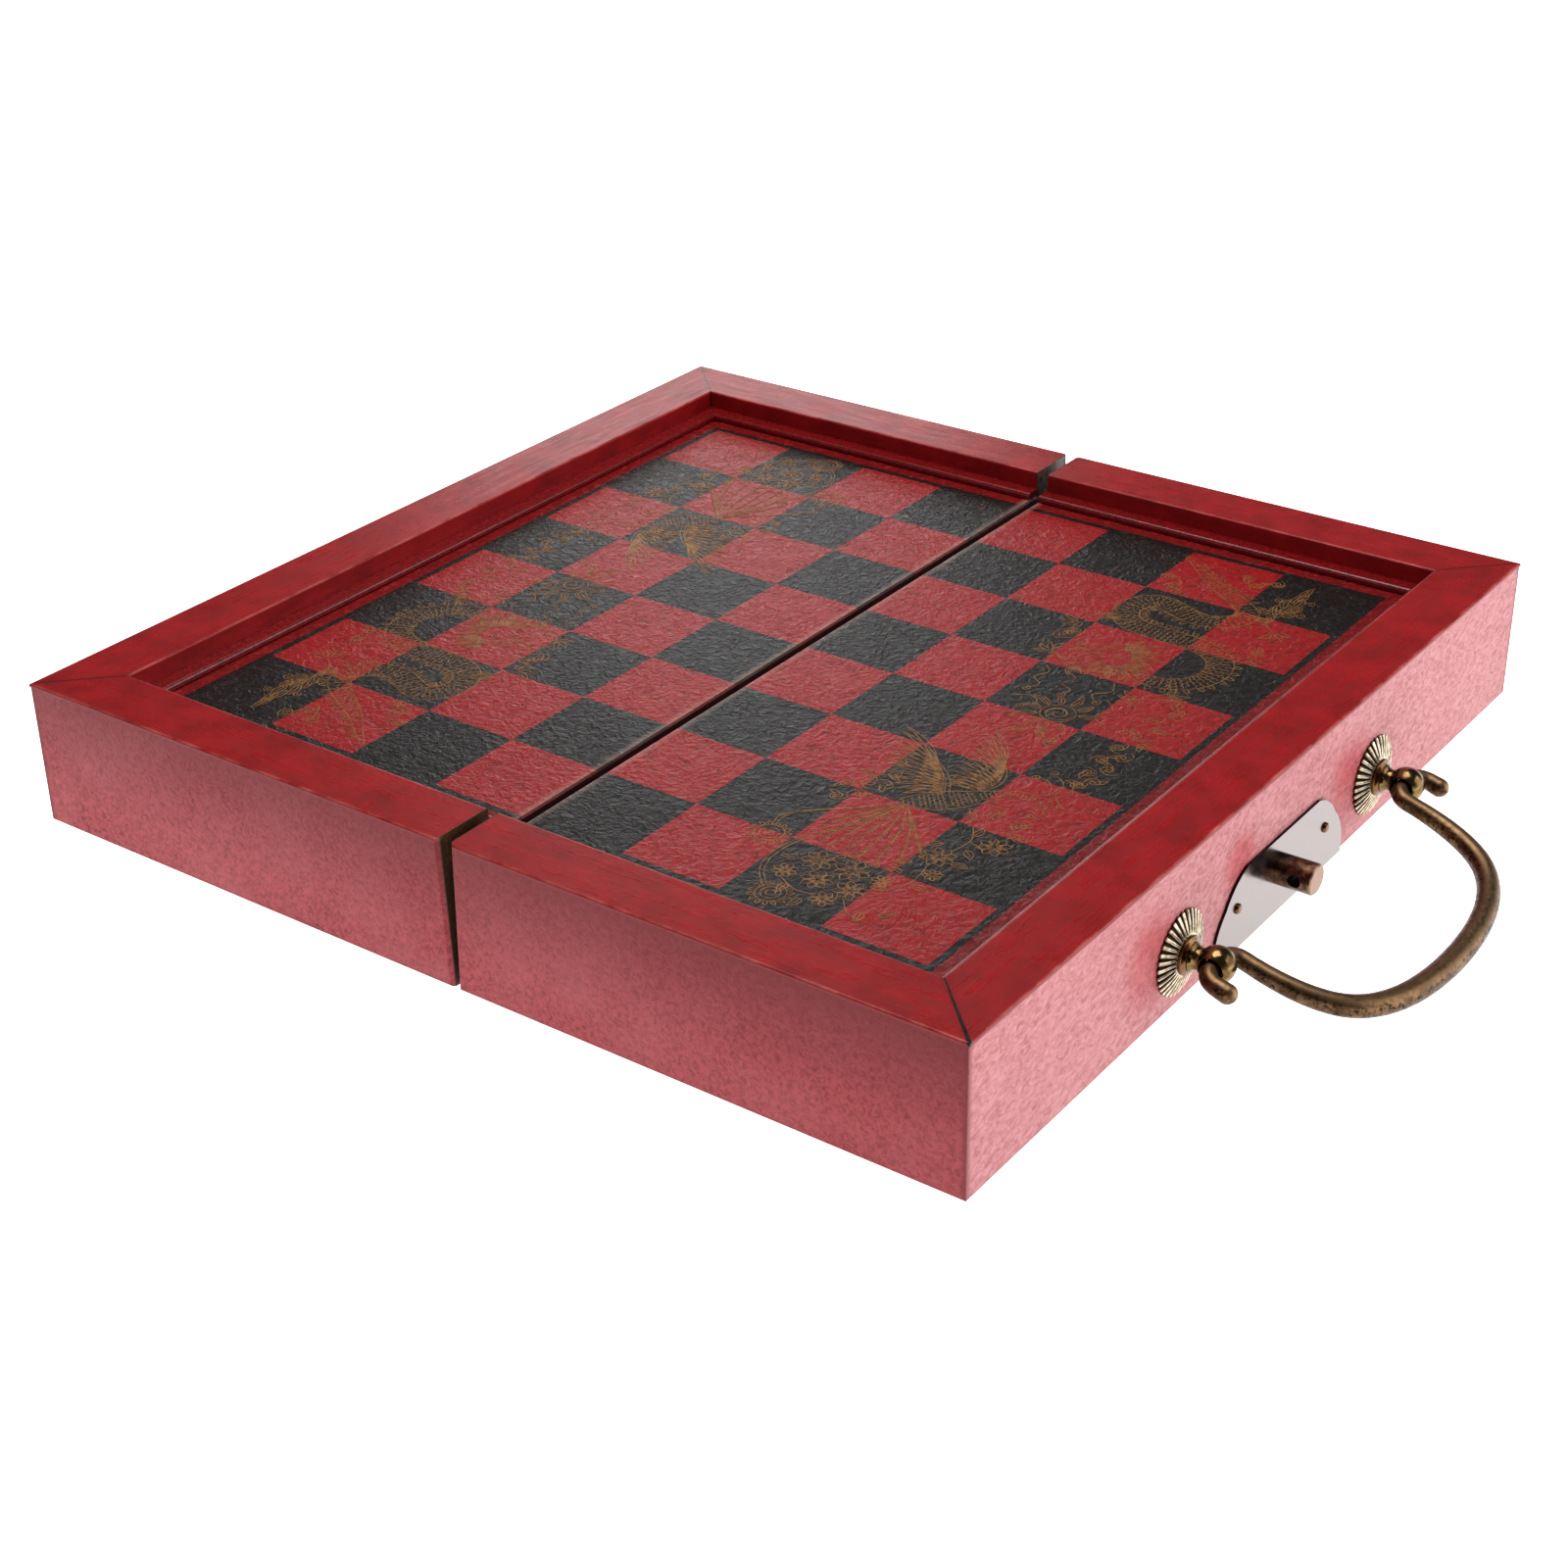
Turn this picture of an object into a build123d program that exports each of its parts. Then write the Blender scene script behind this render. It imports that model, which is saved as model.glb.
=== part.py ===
"""Folding chess case, lying open with its board on top.

Two shallow trays are joined by butt hinges along the parting plane of their undersides.
Folded together, the undersides meet: the board is then on the outside and the chessmen
lie between the trays.  All sizes are in millimetres, +Z is up, the fold line is the Y axis,
the origin is the middle of the fold line on the underside, and +X is the handle side.
"""
from build123d import *
from math import cos, radians, sin
import os

os.makedirs("parts", exist_ok=True)

# ---- case ------------------------------------------------------------------------------
CASE_LENGTH = 251.0          # along the fold line
HALF_WIDTH = 125.9           # of one tray, across the fold line
CASE_HEIGHT = 35.7           # of one tray
FOLD_GAP_BOTTOM = 0.5        # from the fold line to a tray's bottom edge
FOLD_GAP_TOP = 1.6           # from the fold line to a tray's top edge
RIM_WIDTH = 15.6
RIM_LIP = 0.25               # the rim's covering stands this far past the walls
RIM_LIP_HEIGHT = 0.8
UPSTAND = 2.0                # thickness of the walls' outer edge, which goes up beside the rim
BOARD_DROP = 6.5             # from the rim's top to the playing surface
WALL = 10.6
HINGE_WALL = 12.0
PANEL_THICKNESS = 4.2
SURFACE_THICKNESS = 0.8
CORNER_CUT = 0.9             # of the walls' upright corners beside the fold
EDGE_ROUND = 0.5

# ---- bead round the board ----------------------------------------------------------------
BEAD_WIDTH = 4.4
BEAD_HEIGHT = 1.9
BEAD_ROUND = 0.9
BEAD_UNDERCUT = 0.35

# ---- inside of a tray ----------------------------------------------------------------------
LINING_THICKNESS = 0.6
DIVIDER_THICKNESS = 3.0
DIVIDER_SETBACK = 1.0        # of the dividers' edges from the parting plane
DIVIDER_FIT = 0.15           # play of a divider's end at a wall and in a lap
CROSS_DIVIDERS = 3

# ---- fold hinges ---------------------------------------------------------------------------
HINGE_SPACING = 130.0
HINGE_LENGTH = 26.0
HINGE_LEAF_WIDTH = 10.5
HINGE_LEAF_THICKNESS = 0.7
HINGE_LEAF_SETBACK = 0.1     # of a leaf from the parting plane
BARREL_RADIUS = 1.2
BARREL_CLEARANCE = 0.4       # round the barrel in the walls
HINGE_PIN_RADIUS = 0.6
PIN_FIT = 0.05               # radial clearance of a pin in its knuckles
KNUCKLE_PLAY = 0.15          # between neighbouring knuckles
HINGE_SCREWS = 3
HINGE_SCREW_RADIUS = 0.9
HINGE_SCREW_LENGTH = 8.0
SCREW_HEAD_RADIUS = 1.7
SCREW_HEAD_HEIGHT = 0.6
SCREW_FIT = 0.05             # round a screw, nail or shank in its hole

# ---- bail handle -----------------------------------------------------------------------------
HANDLE_HEIGHT = 12.9         # of the eyes' centres above the underside
EYE_SPACING = 91.0
EYE_REACH = 8.7              # from the wall to an eye's centre
EYE_RADIUS = 4.1
EYE_MOUTH_RADIUS = 2.9
BAIL_END_RADIUS = 2.0        # of the wire in the eyes
BAIL_MIDDLE_RADIUS = 2.7
BAIL_FIT = 0.08              # radial clearance of the wire in the eyes
BAIL_BEND = 3.2              # of the wire's centreline beside the eyes
BAIL_LEG_INSET = 5.9         # from an eye's centre in to the bail's leg
BAIL_TAIL_OUTSET = 5.9       # from an eye's centre out to the wire's tail
BAIL_TAIL_LENGTH = 5.8
BAIL_TIP_RADIUS = 2.2
BAIL_DEPTH = 34.4            # from the eyes' axis to the middle of the grip
BAIL_DROOP = 17.0            # degrees below level, where the grip rests beside the case
ROSETTE_RADIUS = 9.6
ROSETTE_RISE = 2.2
ROSETTE_THICKNESS = 0.7
ROSETTE_FLUTES = 32
SHANK_RADIUS = 1.6
COLLAR_RADIUS = 4.4
NECK_RADIUS = 2.5
NUT_RADIUS = 3.4
NUT_THICKNESS = 2.4

# ---- latch --------------------------------------------------------------------------------
LATCH_WIDTH = 61.0
LATCH_HEIGHT = 19.4
LATCH_THICKNESS = 0.7
LATCH_SETBACK = 0.3          # of a plate's straight edge from the parting plane
LATCH_SHOULDER = 10.5        # height of the plates' side lobes
LATCH_CROWN = 34.0           # width of the plates' top
LATCH_LOBE_INSET = 4.6       # of a lobe's inner end from the plates' side
LATCH_HOLLOW_INSET = 8.2     # of the hollow above it
LATCH_HOLLOW_DROP = 2.8
LATCH_LOBE_ROUND = 1.2
LATCH_FOOT = 2.0             # upright part of the plates' sides
NAIL_SPACING = 41.6
NAIL_HEIGHT = 10.9
NAIL_HEAD_RADIUS = 1.2
NAIL_HEAD_HEIGHT = 0.7
NAIL_RADIUS = 0.6
NAIL_LENGTH = 7.0
POST_HEIGHT = 10.4
POST_RADIUS = 3.6
POST_LENGTH = 9.0
POST_HOLE_RADIUS = 1.5
POST_HOLE_REACH = 5.2
POST_SHANK_RADIUS = 1.5
POST_SHANK_LENGTH = 8.0
HASP_PIVOT_HEIGHT = 4.2
HASP_PIVOT_REACH = 2.4       # from the wall to the hasp's pin
HASP_SET_IN = 0.4            # of the hasp's blade from its pin, towards the wall
HASP_WIDTH = 16.0
HASP_LENGTH = 24.6           # from the pin to the tip
HASP_THICKNESS = 1.2
HASP_LIP_RADIUS = 1.1
HASP_BARREL_RADIUS = 1.5
HASP_KNUCKLE = 7.0
HASP_SLOT_WIDTH = 8.0
HASP_SLOT_START = 10.4       # from the pin
HASP_SLOT_END = 20.1

# ---- worked out from the sizes above -----------------------------------------------------------
OUTER_X = FOLD_GAP_BOTTOM + HALF_WIDTH
OUTER_Y = CASE_LENGTH / 2
SURFACE_Z = CASE_HEIGHT - BOARD_DROP
RAIL_Z = SURFACE_Z - SURFACE_THICKNESS
PANEL_Z = RAIL_Z - PANEL_THICKNESS
LINING_Z = PANEL_Z - LINING_THICKNESS
INNER_X = OUTER_X - WALL
INNER_Y = OUTER_Y - WALL
RIM_X = OUTER_X - RIM_WIDTH
RIM_Y = OUTER_Y - RIM_WIDTH
HINGE_X = FOLD_GAP_BOTTOM + HINGE_WALL
DIVIDER_DEPTH = LINING_Z - DIVIDER_SETBACK
CAVITY_MIDDLE_X = (HINGE_X + INNER_X) / 2

FOLD_SLOPE = (FOLD_GAP_TOP - FOLD_GAP_BOTTOM) / CASE_HEIGHT
FOLD_FACE = Plane(origin=(FOLD_GAP_BOTTOM, 0, 0), x_dir=(0, 1, 0), z_dir=(1, 0, -FOLD_SLOPE))
RIGHT, LEFT = "right", "left"
OVERRUN = RIM_WIDTH          # of a strip past its mitres before they are cut


def fold_x(z):
    """Where a tray's leaning fold face stands at the height z."""
    return FOLD_GAP_BOTTOM + FOLD_SLOPE * z


def write(piece, label, side=RIGHT):
    """Name a finished piece and write it; the left tray's pieces are mirrored ones."""
    solid = piece.part if side == RIGHT else mirror(piece.part, about=Plane.YZ)
    solid.label = label
    export_step(solid, f"parts/{label}.step")


def mitre_face(sign):
    """The 45-degree plane through the corner on the side sign * Y, facing the end strip."""
    return Plane(origin=(OUTER_X, sign * OUTER_Y, 0), x_dir=(0, 0, 1), z_dir=(1, -sign, 0))


def strip_profiles(profile):
    """A strip's section, drawn outwards along local X, stood at the two kinds of side."""
    with BuildSketch(Plane.XZ) as along_y:
        with Locations((OUTER_X, 0)):
            add(profile)
    with BuildSketch(Plane.YZ) as along_x:
        with Locations((OUTER_Y, 0)):
            add(profile)
    return along_y.sketch, along_x.sketch


def corner_face(sign):
    """Plane that takes off the upright corner of a strip's end beside the fold."""
    return Plane(
        origin=(FOLD_GAP_BOTTOM + CORNER_CUT, sign * OUTER_Y, 0), x_dir=(sign, 1, 0),
        z_dir=(1, -sign, -FOLD_SLOPE),
    )


def frame_of_strips(name, profile, side, bores=(), cut_corners=False):
    """Three mitred strips with one section: at the end, the front and the back of a tray.

    The bores are holes in the end strip: (Y, Z, radius, depth from outside).
    """
    along_y, along_x = strip_profiles(profile)
    with BuildPart() as end_strip:
        extrude(along_y, amount=OUTER_Y + OVERRUN, both=True)
        split(bisect_by=mitre_face(1), keep=Keep.TOP)
        split(bisect_by=mitre_face(-1), keep=Keep.TOP)
        for y, z, radius, depth in bores:
            with BuildSketch(Plane.YZ.offset(OUTER_X)):
                with Locations((y, z)):
                    Circle(radius)
            extrude(amount=-depth, mode=Mode.SUBTRACT)
    write(end_strip, f"{name}_end_{side}", side)
    for sign, place in ((-1, "front"), (1, "back")):
        with BuildPart() as side_strip:
            extrude(along_x, amount=OUTER_X + OVERRUN)
            if sign < 0:
                mirror(about=Plane.XZ, mode=Mode.REPLACE)
            split(bisect_by=mitre_face(sign), keep=Keep.BOTTOM)
            split(bisect_by=FOLD_FACE, keep=Keep.TOP)
            if cut_corners:
                split(bisect_by=corner_face(sign), keep=Keep.TOP)
        write(side_strip, f"{name}_{place}_{side}", side)


# Wall section: a board with a rebate for the rim, its lower outer edge rounded
with BuildSketch() as wall_section:
    with BuildLine():
        Polyline(
            (0, CASE_HEIGHT - RIM_LIP_HEIGHT), (-UPSTAND, CASE_HEIGHT - RIM_LIP_HEIGHT),
            (-UPSTAND, RAIL_Z), (-WALL, RAIL_Z), (-WALL, 0), (0, 0),
            (0, CASE_HEIGHT - RIM_LIP_HEIGHT),
        )
    make_face()
    fillet(wall_section.vertices().group_by(Axis.Y)[0].sort_by(Axis.X)[-1], EDGE_ROUND)

# Rim section: a rail in the wall's rebate, its covering lapping a little over the outside
with BuildSketch() as rim_section:
    with BuildLine():
        Polyline(
            (-RIM_WIDTH, RAIL_Z), (-UPSTAND, RAIL_Z), (-UPSTAND, CASE_HEIGHT - RIM_LIP_HEIGHT),
            (RIM_LIP, CASE_HEIGHT - RIM_LIP_HEIGHT), (RIM_LIP, CASE_HEIGHT),
            (-RIM_WIDTH, CASE_HEIGHT), (-RIM_WIDTH, RAIL_Z),
        )
    make_face()
    fillet(rim_section.vertices().group_by(Axis.Y)[-1], EDGE_ROUND)

# Bead section: a strip against the rim with a rounded, undercut nose
with BuildSketch() as bead_section:
    nose = -RIM_WIDTH - BEAD_WIDTH
    with BuildLine():
        Polyline(
            (-RIM_WIDTH, SURFACE_Z), (nose + BEAD_UNDERCUT, SURFACE_Z),
            (nose, SURFACE_Z + BEAD_UNDERCUT), (nose, SURFACE_Z + BEAD_HEIGHT),
            (-RIM_WIDTH, SURFACE_Z + BEAD_HEIGHT), (-RIM_WIDTH, SURFACE_Z),
        )
    make_face()
    fillet(bead_section.vertices().group_by(Axis.Y)[-1].sort_by(Axis.X)[0], BEAD_ROUND)


def hinge_places():
    return [-HINGE_SPACING / 2, HINGE_SPACING / 2]


def screw_places():
    """The screws' X and Y in one leaf, staggered across it."""
    pitch = HINGE_LENGTH / HINGE_SCREWS
    middle = (BARREL_RADIUS + HINGE_LEAF_WIDTH) / 2
    return [
        (middle + (1.6 if n % 2 else -1.0), (n - (HINGE_SCREWS - 1) / 2) * pitch)
        for n in range(HINGE_SCREWS)
    ]


def build_hinge_wall(side):
    """Low wall beside the fold, let out for the hinges' leaves, barrels and screws."""
    with BuildPart() as hinge_wall:
        with BuildSketch(Plane.XZ):
            with BuildLine():
                Polyline(
                    (fold_x(0), 0), (HINGE_X, 0), (HINGE_X, PANEL_Z),
                    (fold_x(PANEL_Z), PANEL_Z), (fold_x(0), 0),
                )
            make_face()
        extrude(amount=INNER_Y, both=True)
        mortise = HINGE_LEAF_SETBACK + HINGE_LEAF_THICKNESS
        for y in hinge_places():
            with BuildSketch(Plane.XY):
                with Locations((0, y)):
                    Rectangle(
                        2 * (HINGE_LEAF_WIDTH + SCREW_FIT), HINGE_LENGTH + 2 * KNUCKLE_PLAY
                    )
            extrude(amount=mortise, mode=Mode.SUBTRACT)
            with Locations(Location((0, y, 0), (90, 0, 0))):
                Cylinder(
                    BARREL_RADIUS + BARREL_CLEARANCE, HINGE_LENGTH + 2, mode=Mode.SUBTRACT
                )
            for screw_x, screw_y in screw_places():
                with Locations((screw_x, y + screw_y, 0)):
                    Cylinder(
                        HINGE_SCREW_RADIUS + SCREW_FIT, HINGE_SCREW_LENGTH + 1,
                        align=(Align.CENTER, Align.CENTER, Align.MIN), mode=Mode.SUBTRACT,
                    )
    write(hinge_wall, f"hinge_wall_{side}", side)


def build_board(side):
    """Panel that carries the board, the embossed playing surface on it, and the lining below."""
    with BuildPart() as board_panel:
        with BuildSketch(Plane.XZ):
            with BuildLine():
                Polyline(
                    (fold_x(PANEL_Z), PANEL_Z), (INNER_X, PANEL_Z), (INNER_X, RAIL_Z),
                    (fold_x(RAIL_Z), RAIL_Z), (fold_x(PANEL_Z), PANEL_Z),
                )
            make_face()
        extrude(amount=INNER_Y, both=True)
    write(board_panel, f"board_panel_{side}", side)

    with BuildPart() as playing_surface:
        with BuildSketch(Plane.XZ):
            with BuildLine():
                Polyline(
                    (fold_x(RAIL_Z), RAIL_Z), (RIM_X, RAIL_Z), (RIM_X, SURFACE_Z),
                    (fold_x(SURFACE_Z), SURFACE_Z), (fold_x(RAIL_Z), RAIL_Z),
                )
            make_face()
        extrude(amount=RIM_Y, both=True)
    write(playing_surface, f"playing_surface_{side}", side)

    with BuildPart() as tray_lining:
        with BuildSketch(Plane.XY.offset(LINING_Z)):
            with Locations((CAVITY_MIDDLE_X, 0)):
                Rectangle(INNER_X - HINGE_X, 2 * INNER_Y)
        extrude(amount=LINING_THICKNESS)
    write(tray_lining, f"tray_lining_{side}", side)


def cross_places():
    """Y of the dividers that run across a tray."""
    pitch = 2 * INNER_Y / (CROSS_DIVIDERS + 1)
    return [(n + 1) * pitch - INNER_Y for n in range(CROSS_DIVIDERS)]


def build_dividers(side):
    """One divider along the tray, lapped half and half with the dividers across it."""
    lap = DIVIDER_THICKNESS + 2 * DIVIDER_FIT
    middle_z = DIVIDER_SETBACK + DIVIDER_DEPTH / 2
    with BuildPart() as long_divider:
        with Locations((CAVITY_MIDDLE_X, 0, middle_z)):
            Box(DIVIDER_THICKNESS, 2 * (INNER_Y - DIVIDER_FIT), DIVIDER_DEPTH)
        with Locations(*[(CAVITY_MIDDLE_X, y, DIVIDER_SETBACK) for y in cross_places()]):
            Box(lap, lap, DIVIDER_DEPTH, mode=Mode.SUBTRACT)
    write(long_divider, f"divider_long_{side}", side)
    for n, y in enumerate(cross_places(), start=1):
        with BuildPart() as cross_divider:
            with Locations((CAVITY_MIDDLE_X, y, middle_z)):
                Box(INNER_X - HINGE_X - 2 * DIVIDER_FIT, DIVIDER_THICKNESS, DIVIDER_DEPTH)
            with Locations((CAVITY_MIDDLE_X, y, LINING_Z)):
                Box(lap, lap, DIVIDER_DEPTH + 2 * DIVIDER_FIT, mode=Mode.SUBTRACT)
        write(cross_divider, f"divider_cross_{n}_{side}", side)


def knuckle_spans(side):
    """The stretches of a fold hinge's barrel that belong to one leaf, from its middle."""
    third = HINGE_LENGTH / 3
    if side == RIGHT:
        outer = (third / 2 + KNUCKLE_PLAY / 2, HINGE_LENGTH / 2)
        return [outer, (-outer[1], -outer[0])]
    return [(-third / 2 + KNUCKLE_PLAY / 2, third / 2 - KNUCKLE_PLAY / 2)]


def build_hinge_leaf(side, y, place):
    """Flat leaf let into the hinge wall, its knuckles rolled round the pin on the fold line."""
    foot = BARREL_RADIUS + BARREL_CLEARANCE + 0.1
    with BuildPart() as leaf:
        with BuildSketch(Plane.XY.offset(HINGE_LEAF_SETBACK)):
            with Locations(((foot + HINGE_LEAF_WIDTH) / 2, y)):
                Rectangle(HINGE_LEAF_WIDTH - foot, HINGE_LENGTH)
        extrude(amount=HINGE_LEAF_THICKNESS)
        for low, high in knuckle_spans(side):
            span = (y + (low + high) / 2, high - low)
            with Locations((foot / 2, span[0], HINGE_LEAF_SETBACK + HINGE_LEAF_THICKNESS / 2)):
                Box(foot + 0.2, span[1], HINGE_LEAF_THICKNESS)
            with Locations(Location((0, span[0], 0), (90, 0, 0))):
                Cylinder(BARREL_RADIUS, span[1])
        with Locations(Location((0, y, 0), (90, 0, 0))):
            Cylinder(HINGE_PIN_RADIUS + PIN_FIT, HINGE_LENGTH + 2, mode=Mode.SUBTRACT)
        for screw_x, screw_y in screw_places():
            with Locations(Location((screw_x, y + screw_y, HINGE_LEAF_SETBACK), (180, 0, 0))):
                CounterSinkHole(
                    HINGE_SCREW_RADIUS + SCREW_FIT, SCREW_HEAD_RADIUS + SCREW_FIT, depth=2
                )
    write(leaf, f"hinge_leaf_{place}_{side}", side)


def build_hinge_pin(y, place):
    with BuildPart() as pin:
        with Locations(Location((0, y, 0), (90, 0, 0))):
            Cylinder(HINGE_PIN_RADIUS, HINGE_LENGTH + 0.2)
        for end in (-1, 1):
            with Locations(Location((0, y + end * (HINGE_LENGTH / 2 + 0.3), 0), (90, 0, 0))):
                Cylinder(BARREL_RADIUS - 0.2, 0.4)
    write(pin, f"hinge_pin_{place}")


def build_hinge_screws(side):
    """All countersunk wood screws of one tray's two leaves."""
    with BuildPart() as one_screw:
        with BuildSketch(Plane.XZ):
            with BuildLine():
                Polyline(
                    (0, 0), (SCREW_HEAD_RADIUS, 0), (HINGE_SCREW_RADIUS, SCREW_HEAD_HEIGHT),
                    (HINGE_SCREW_RADIUS, HINGE_SCREW_LENGTH - 1.5), (0, HINGE_SCREW_LENGTH), (0, 0),
                )
            make_face()
        revolve(axis=Axis.Z)
    with BuildPart() as screws:
        places = [(x, y + dy, HINGE_LEAF_SETBACK) for y in hinge_places() for x, dy in screw_places()]
        with Locations(*places):
            add(one_screw.part)
    write(screws, f"hinge_screws_{side}", side)


def build_rosette(sign, place):
    """Dished, fluted washer under an eye, its edge scalloped by the flutes."""
    centre = (OUTER_X, sign * EYE_SPACING / 2, HANDLE_HEIGHT)
    with BuildPart() as rosette:
        with BuildSketch(Plane.XY):
            with BuildLine():
                Polyline(
                    (SHANK_RADIUS + SCREW_FIT, ROSETTE_RISE - ROSETTE_THICKNESS),
                    (COLLAR_RADIUS, ROSETTE_RISE - ROSETTE_THICKNESS), (ROSETTE_RADIUS - 0.8, 0),
                    (ROSETTE_RADIUS, 0), (ROSETTE_RADIUS, ROSETTE_THICKNESS),
                    (COLLAR_RADIUS, ROSETTE_RISE), (SHANK_RADIUS + SCREW_FIT, ROSETTE_RISE),
                    (SHANK_RADIUS + SCREW_FIT, ROSETTE_RISE - ROSETTE_THICKNESS),
                )
            make_face()
        revolve(axis=Axis.Y)
        with BuildSketch(Plane.XZ):
            with PolarLocations(ROSETTE_RADIUS + 0.25, ROSETTE_FLUTES):
                Circle(0.6)
        extrude(amount=-ROSETTE_RISE, mode=Mode.SUBTRACT)
    write(stand_out(rosette, centre), f"rosette_{place}")


def stand_out(piece, centre):
    """Turn a piece drawn outwards along +Y to stand outwards along +X at its centre."""
    with BuildPart() as placed:
        add(Location(centre) * Rot(0, 0, -90) * piece.part)
    return placed


def build_eye_post(sign, place):
    """Turned post: shank through the wall, flared collar, neck and a ball with the bail's hole."""
    centre = (OUTER_X, sign * EYE_SPACING / 2, HANDLE_HEIGHT)
    shank_end = WALL + NUT_THICKNESS + 0.8
    ball_foot = (EYE_RADIUS**2 - NECK_RADIUS**2) ** 0.5
    with BuildPart() as eye_post:
        with BuildSketch(Plane.XY):
            with BuildLine():
                Polyline(
                    (0, EYE_REACH + EYE_RADIUS), (0, -shank_end), (SHANK_RADIUS, -shank_end),
                    (SHANK_RADIUS, ROSETTE_RISE), (COLLAR_RADIUS, ROSETTE_RISE),
                    (COLLAR_RADIUS, ROSETTE_RISE + 0.5), (COLLAR_RADIUS - 0.5, ROSETTE_RISE + 1.1),
                    (NECK_RADIUS + 0.6, ROSETTE_RISE + 1.9), (NECK_RADIUS, ROSETTE_RISE + 2.0),
                    (NECK_RADIUS, EYE_REACH - ball_foot),
                )
                ThreePointArc(
                    (NECK_RADIUS, EYE_REACH - ball_foot), (EYE_RADIUS, EYE_REACH),
                    (0, EYE_REACH + EYE_RADIUS),
                )
            make_face()
        revolve(axis=Axis.Y)
        # the bail's hole, level and along the case, opening out to a round mouth on each side
        mouth_x = (EYE_RADIUS**2 - EYE_MOUTH_RADIUS**2) ** 0.5
        hole = BAIL_END_RADIUS + BAIL_FIT
        with BuildSketch(Plane.XY):
            with BuildLine():
                Polyline(
                    (-EYE_RADIUS - 1, EYE_REACH), (-EYE_RADIUS - 1, EYE_REACH + EYE_MOUTH_RADIUS),
                    (-mouth_x, EYE_REACH + EYE_MOUTH_RADIUS), (-mouth_x / 2, EYE_REACH + hole),
                    (mouth_x / 2, EYE_REACH + hole), (mouth_x, EYE_REACH + EYE_MOUTH_RADIUS),
                    (EYE_RADIUS + 1, EYE_REACH + EYE_MOUTH_RADIUS), (EYE_RADIUS + 1, EYE_REACH),
                    (-EYE_RADIUS - 1, EYE_REACH),
                )
            make_face()
        revolve(axis=Axis((0, EYE_REACH, 0), (1, 0, 0)), mode=Mode.SUBTRACT)
    write(stand_out(eye_post, centre), f"eye_post_{place}")


def build_eye_nuts():
    """Hexagon nuts that hold the two eye posts from inside the tray."""
    with BuildPart() as nuts:
        with BuildSketch(Plane.YZ.offset(INNER_X - NUT_THICKNESS)):
            with Locations(*[(s * EYE_SPACING / 2, HANDLE_HEIGHT) for s in (-1, 1)]):
                RegularPolygon(NUT_RADIUS, 6)
                Circle(SHANK_RADIUS + SCREW_FIT, mode=Mode.SUBTRACT)
        extrude(amount=NUT_THICKNESS)
    write(nuts, "eye_nuts")


def bail_path_points():
    """Half of the wire's centreline, (Y, depth) from the middle of the grip to an eye's bend."""
    leg = EYE_SPACING / 2 - BAIL_LEG_INSET
    return [
        (0, BAIL_DEPTH), (0.35 * leg, 0.972 * BAIL_DEPTH), (0.63 * leg, 0.89 * BAIL_DEPTH),
        (0.86 * leg, 0.715 * BAIL_DEPTH), (0.975 * leg, 0.43 * BAIL_DEPTH), (leg, BAIL_BEND + 2.0),
    ]


def bail_point(y, depth):
    """A point of the drooping plane of the bail, at a depth out from the eyes' axis."""
    droop = radians(BAIL_DROOP)
    return Vector(
        OUTER_X + EYE_REACH + depth * cos(droop), y, HANDLE_HEIGHT - depth * sin(droop)
    )


def bail_corner(y_leg, y_eye):
    """Quarter bend of the wire from a leg or tail at y_leg into the eye's axis at y_eye."""
    slack = BAIL_BEND * (1 - cos(radians(45)))
    middle = y_leg + (slack if y_eye > y_leg else -slack)
    return bail_point(y_leg, BAIL_BEND), bail_point(middle, slack), bail_point(y_eye, 0)


def build_bail():
    """Drooping wire handle, thickest in the grip, necked through the eyes to short tails."""
    outwards = bail_point(0, 1) - bail_point(0, 0)
    half = bail_path_points()
    with BuildPart() as bail:
        with BuildLine() as grip_line:
            Spline(
                *[bail_point(-y, depth) for y, depth in reversed(half)],
                *[bail_point(y, depth) for y, depth in half[1:]],
                tangents=(outwards, -outwards),
            )
        grip = grip_line.wire()
        for at, radius in ((0, BAIL_END_RADIUS), (0.5, BAIL_MIDDLE_RADIUS), (1, BAIL_END_RADIUS)):
            with BuildSketch(Plane(origin=grip @ at, z_dir=grip % at)):
                Circle(radius)
        sweep(path=grip, multisection=True)
        for s in (-1, 1):
            leg = s * (EYE_SPACING / 2 - BAIL_LEG_INSET)
            tail = s * (EYE_SPACING / 2 + BAIL_TAIL_OUTSET)
            near, far = leg + s * BAIL_BEND, tail - s * BAIL_BEND
            with BuildLine() as neck_line:
                Line(bail_point(leg, half[-1][1]), bail_point(leg, BAIL_BEND))
                ThreePointArc(*bail_corner(leg, near))
                Line(bail_point(near, 0), bail_point(far, 0))
                ThreePointArc(*reversed(bail_corner(tail, far)))
                Line(bail_point(tail, BAIL_BEND), bail_point(tail, BAIL_TAIL_LENGTH))
            neck = neck_line.wire()
            with BuildSketch(Plane(origin=neck @ 0, z_dir=neck % 0)):
                Circle(BAIL_END_RADIUS)
            sweep(path=neck)
            with Locations(bail_point(tail, BAIL_TAIL_LENGTH)):
                Sphere(BAIL_TIP_RADIUS)
    write(bail, "bail_handle")


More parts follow.
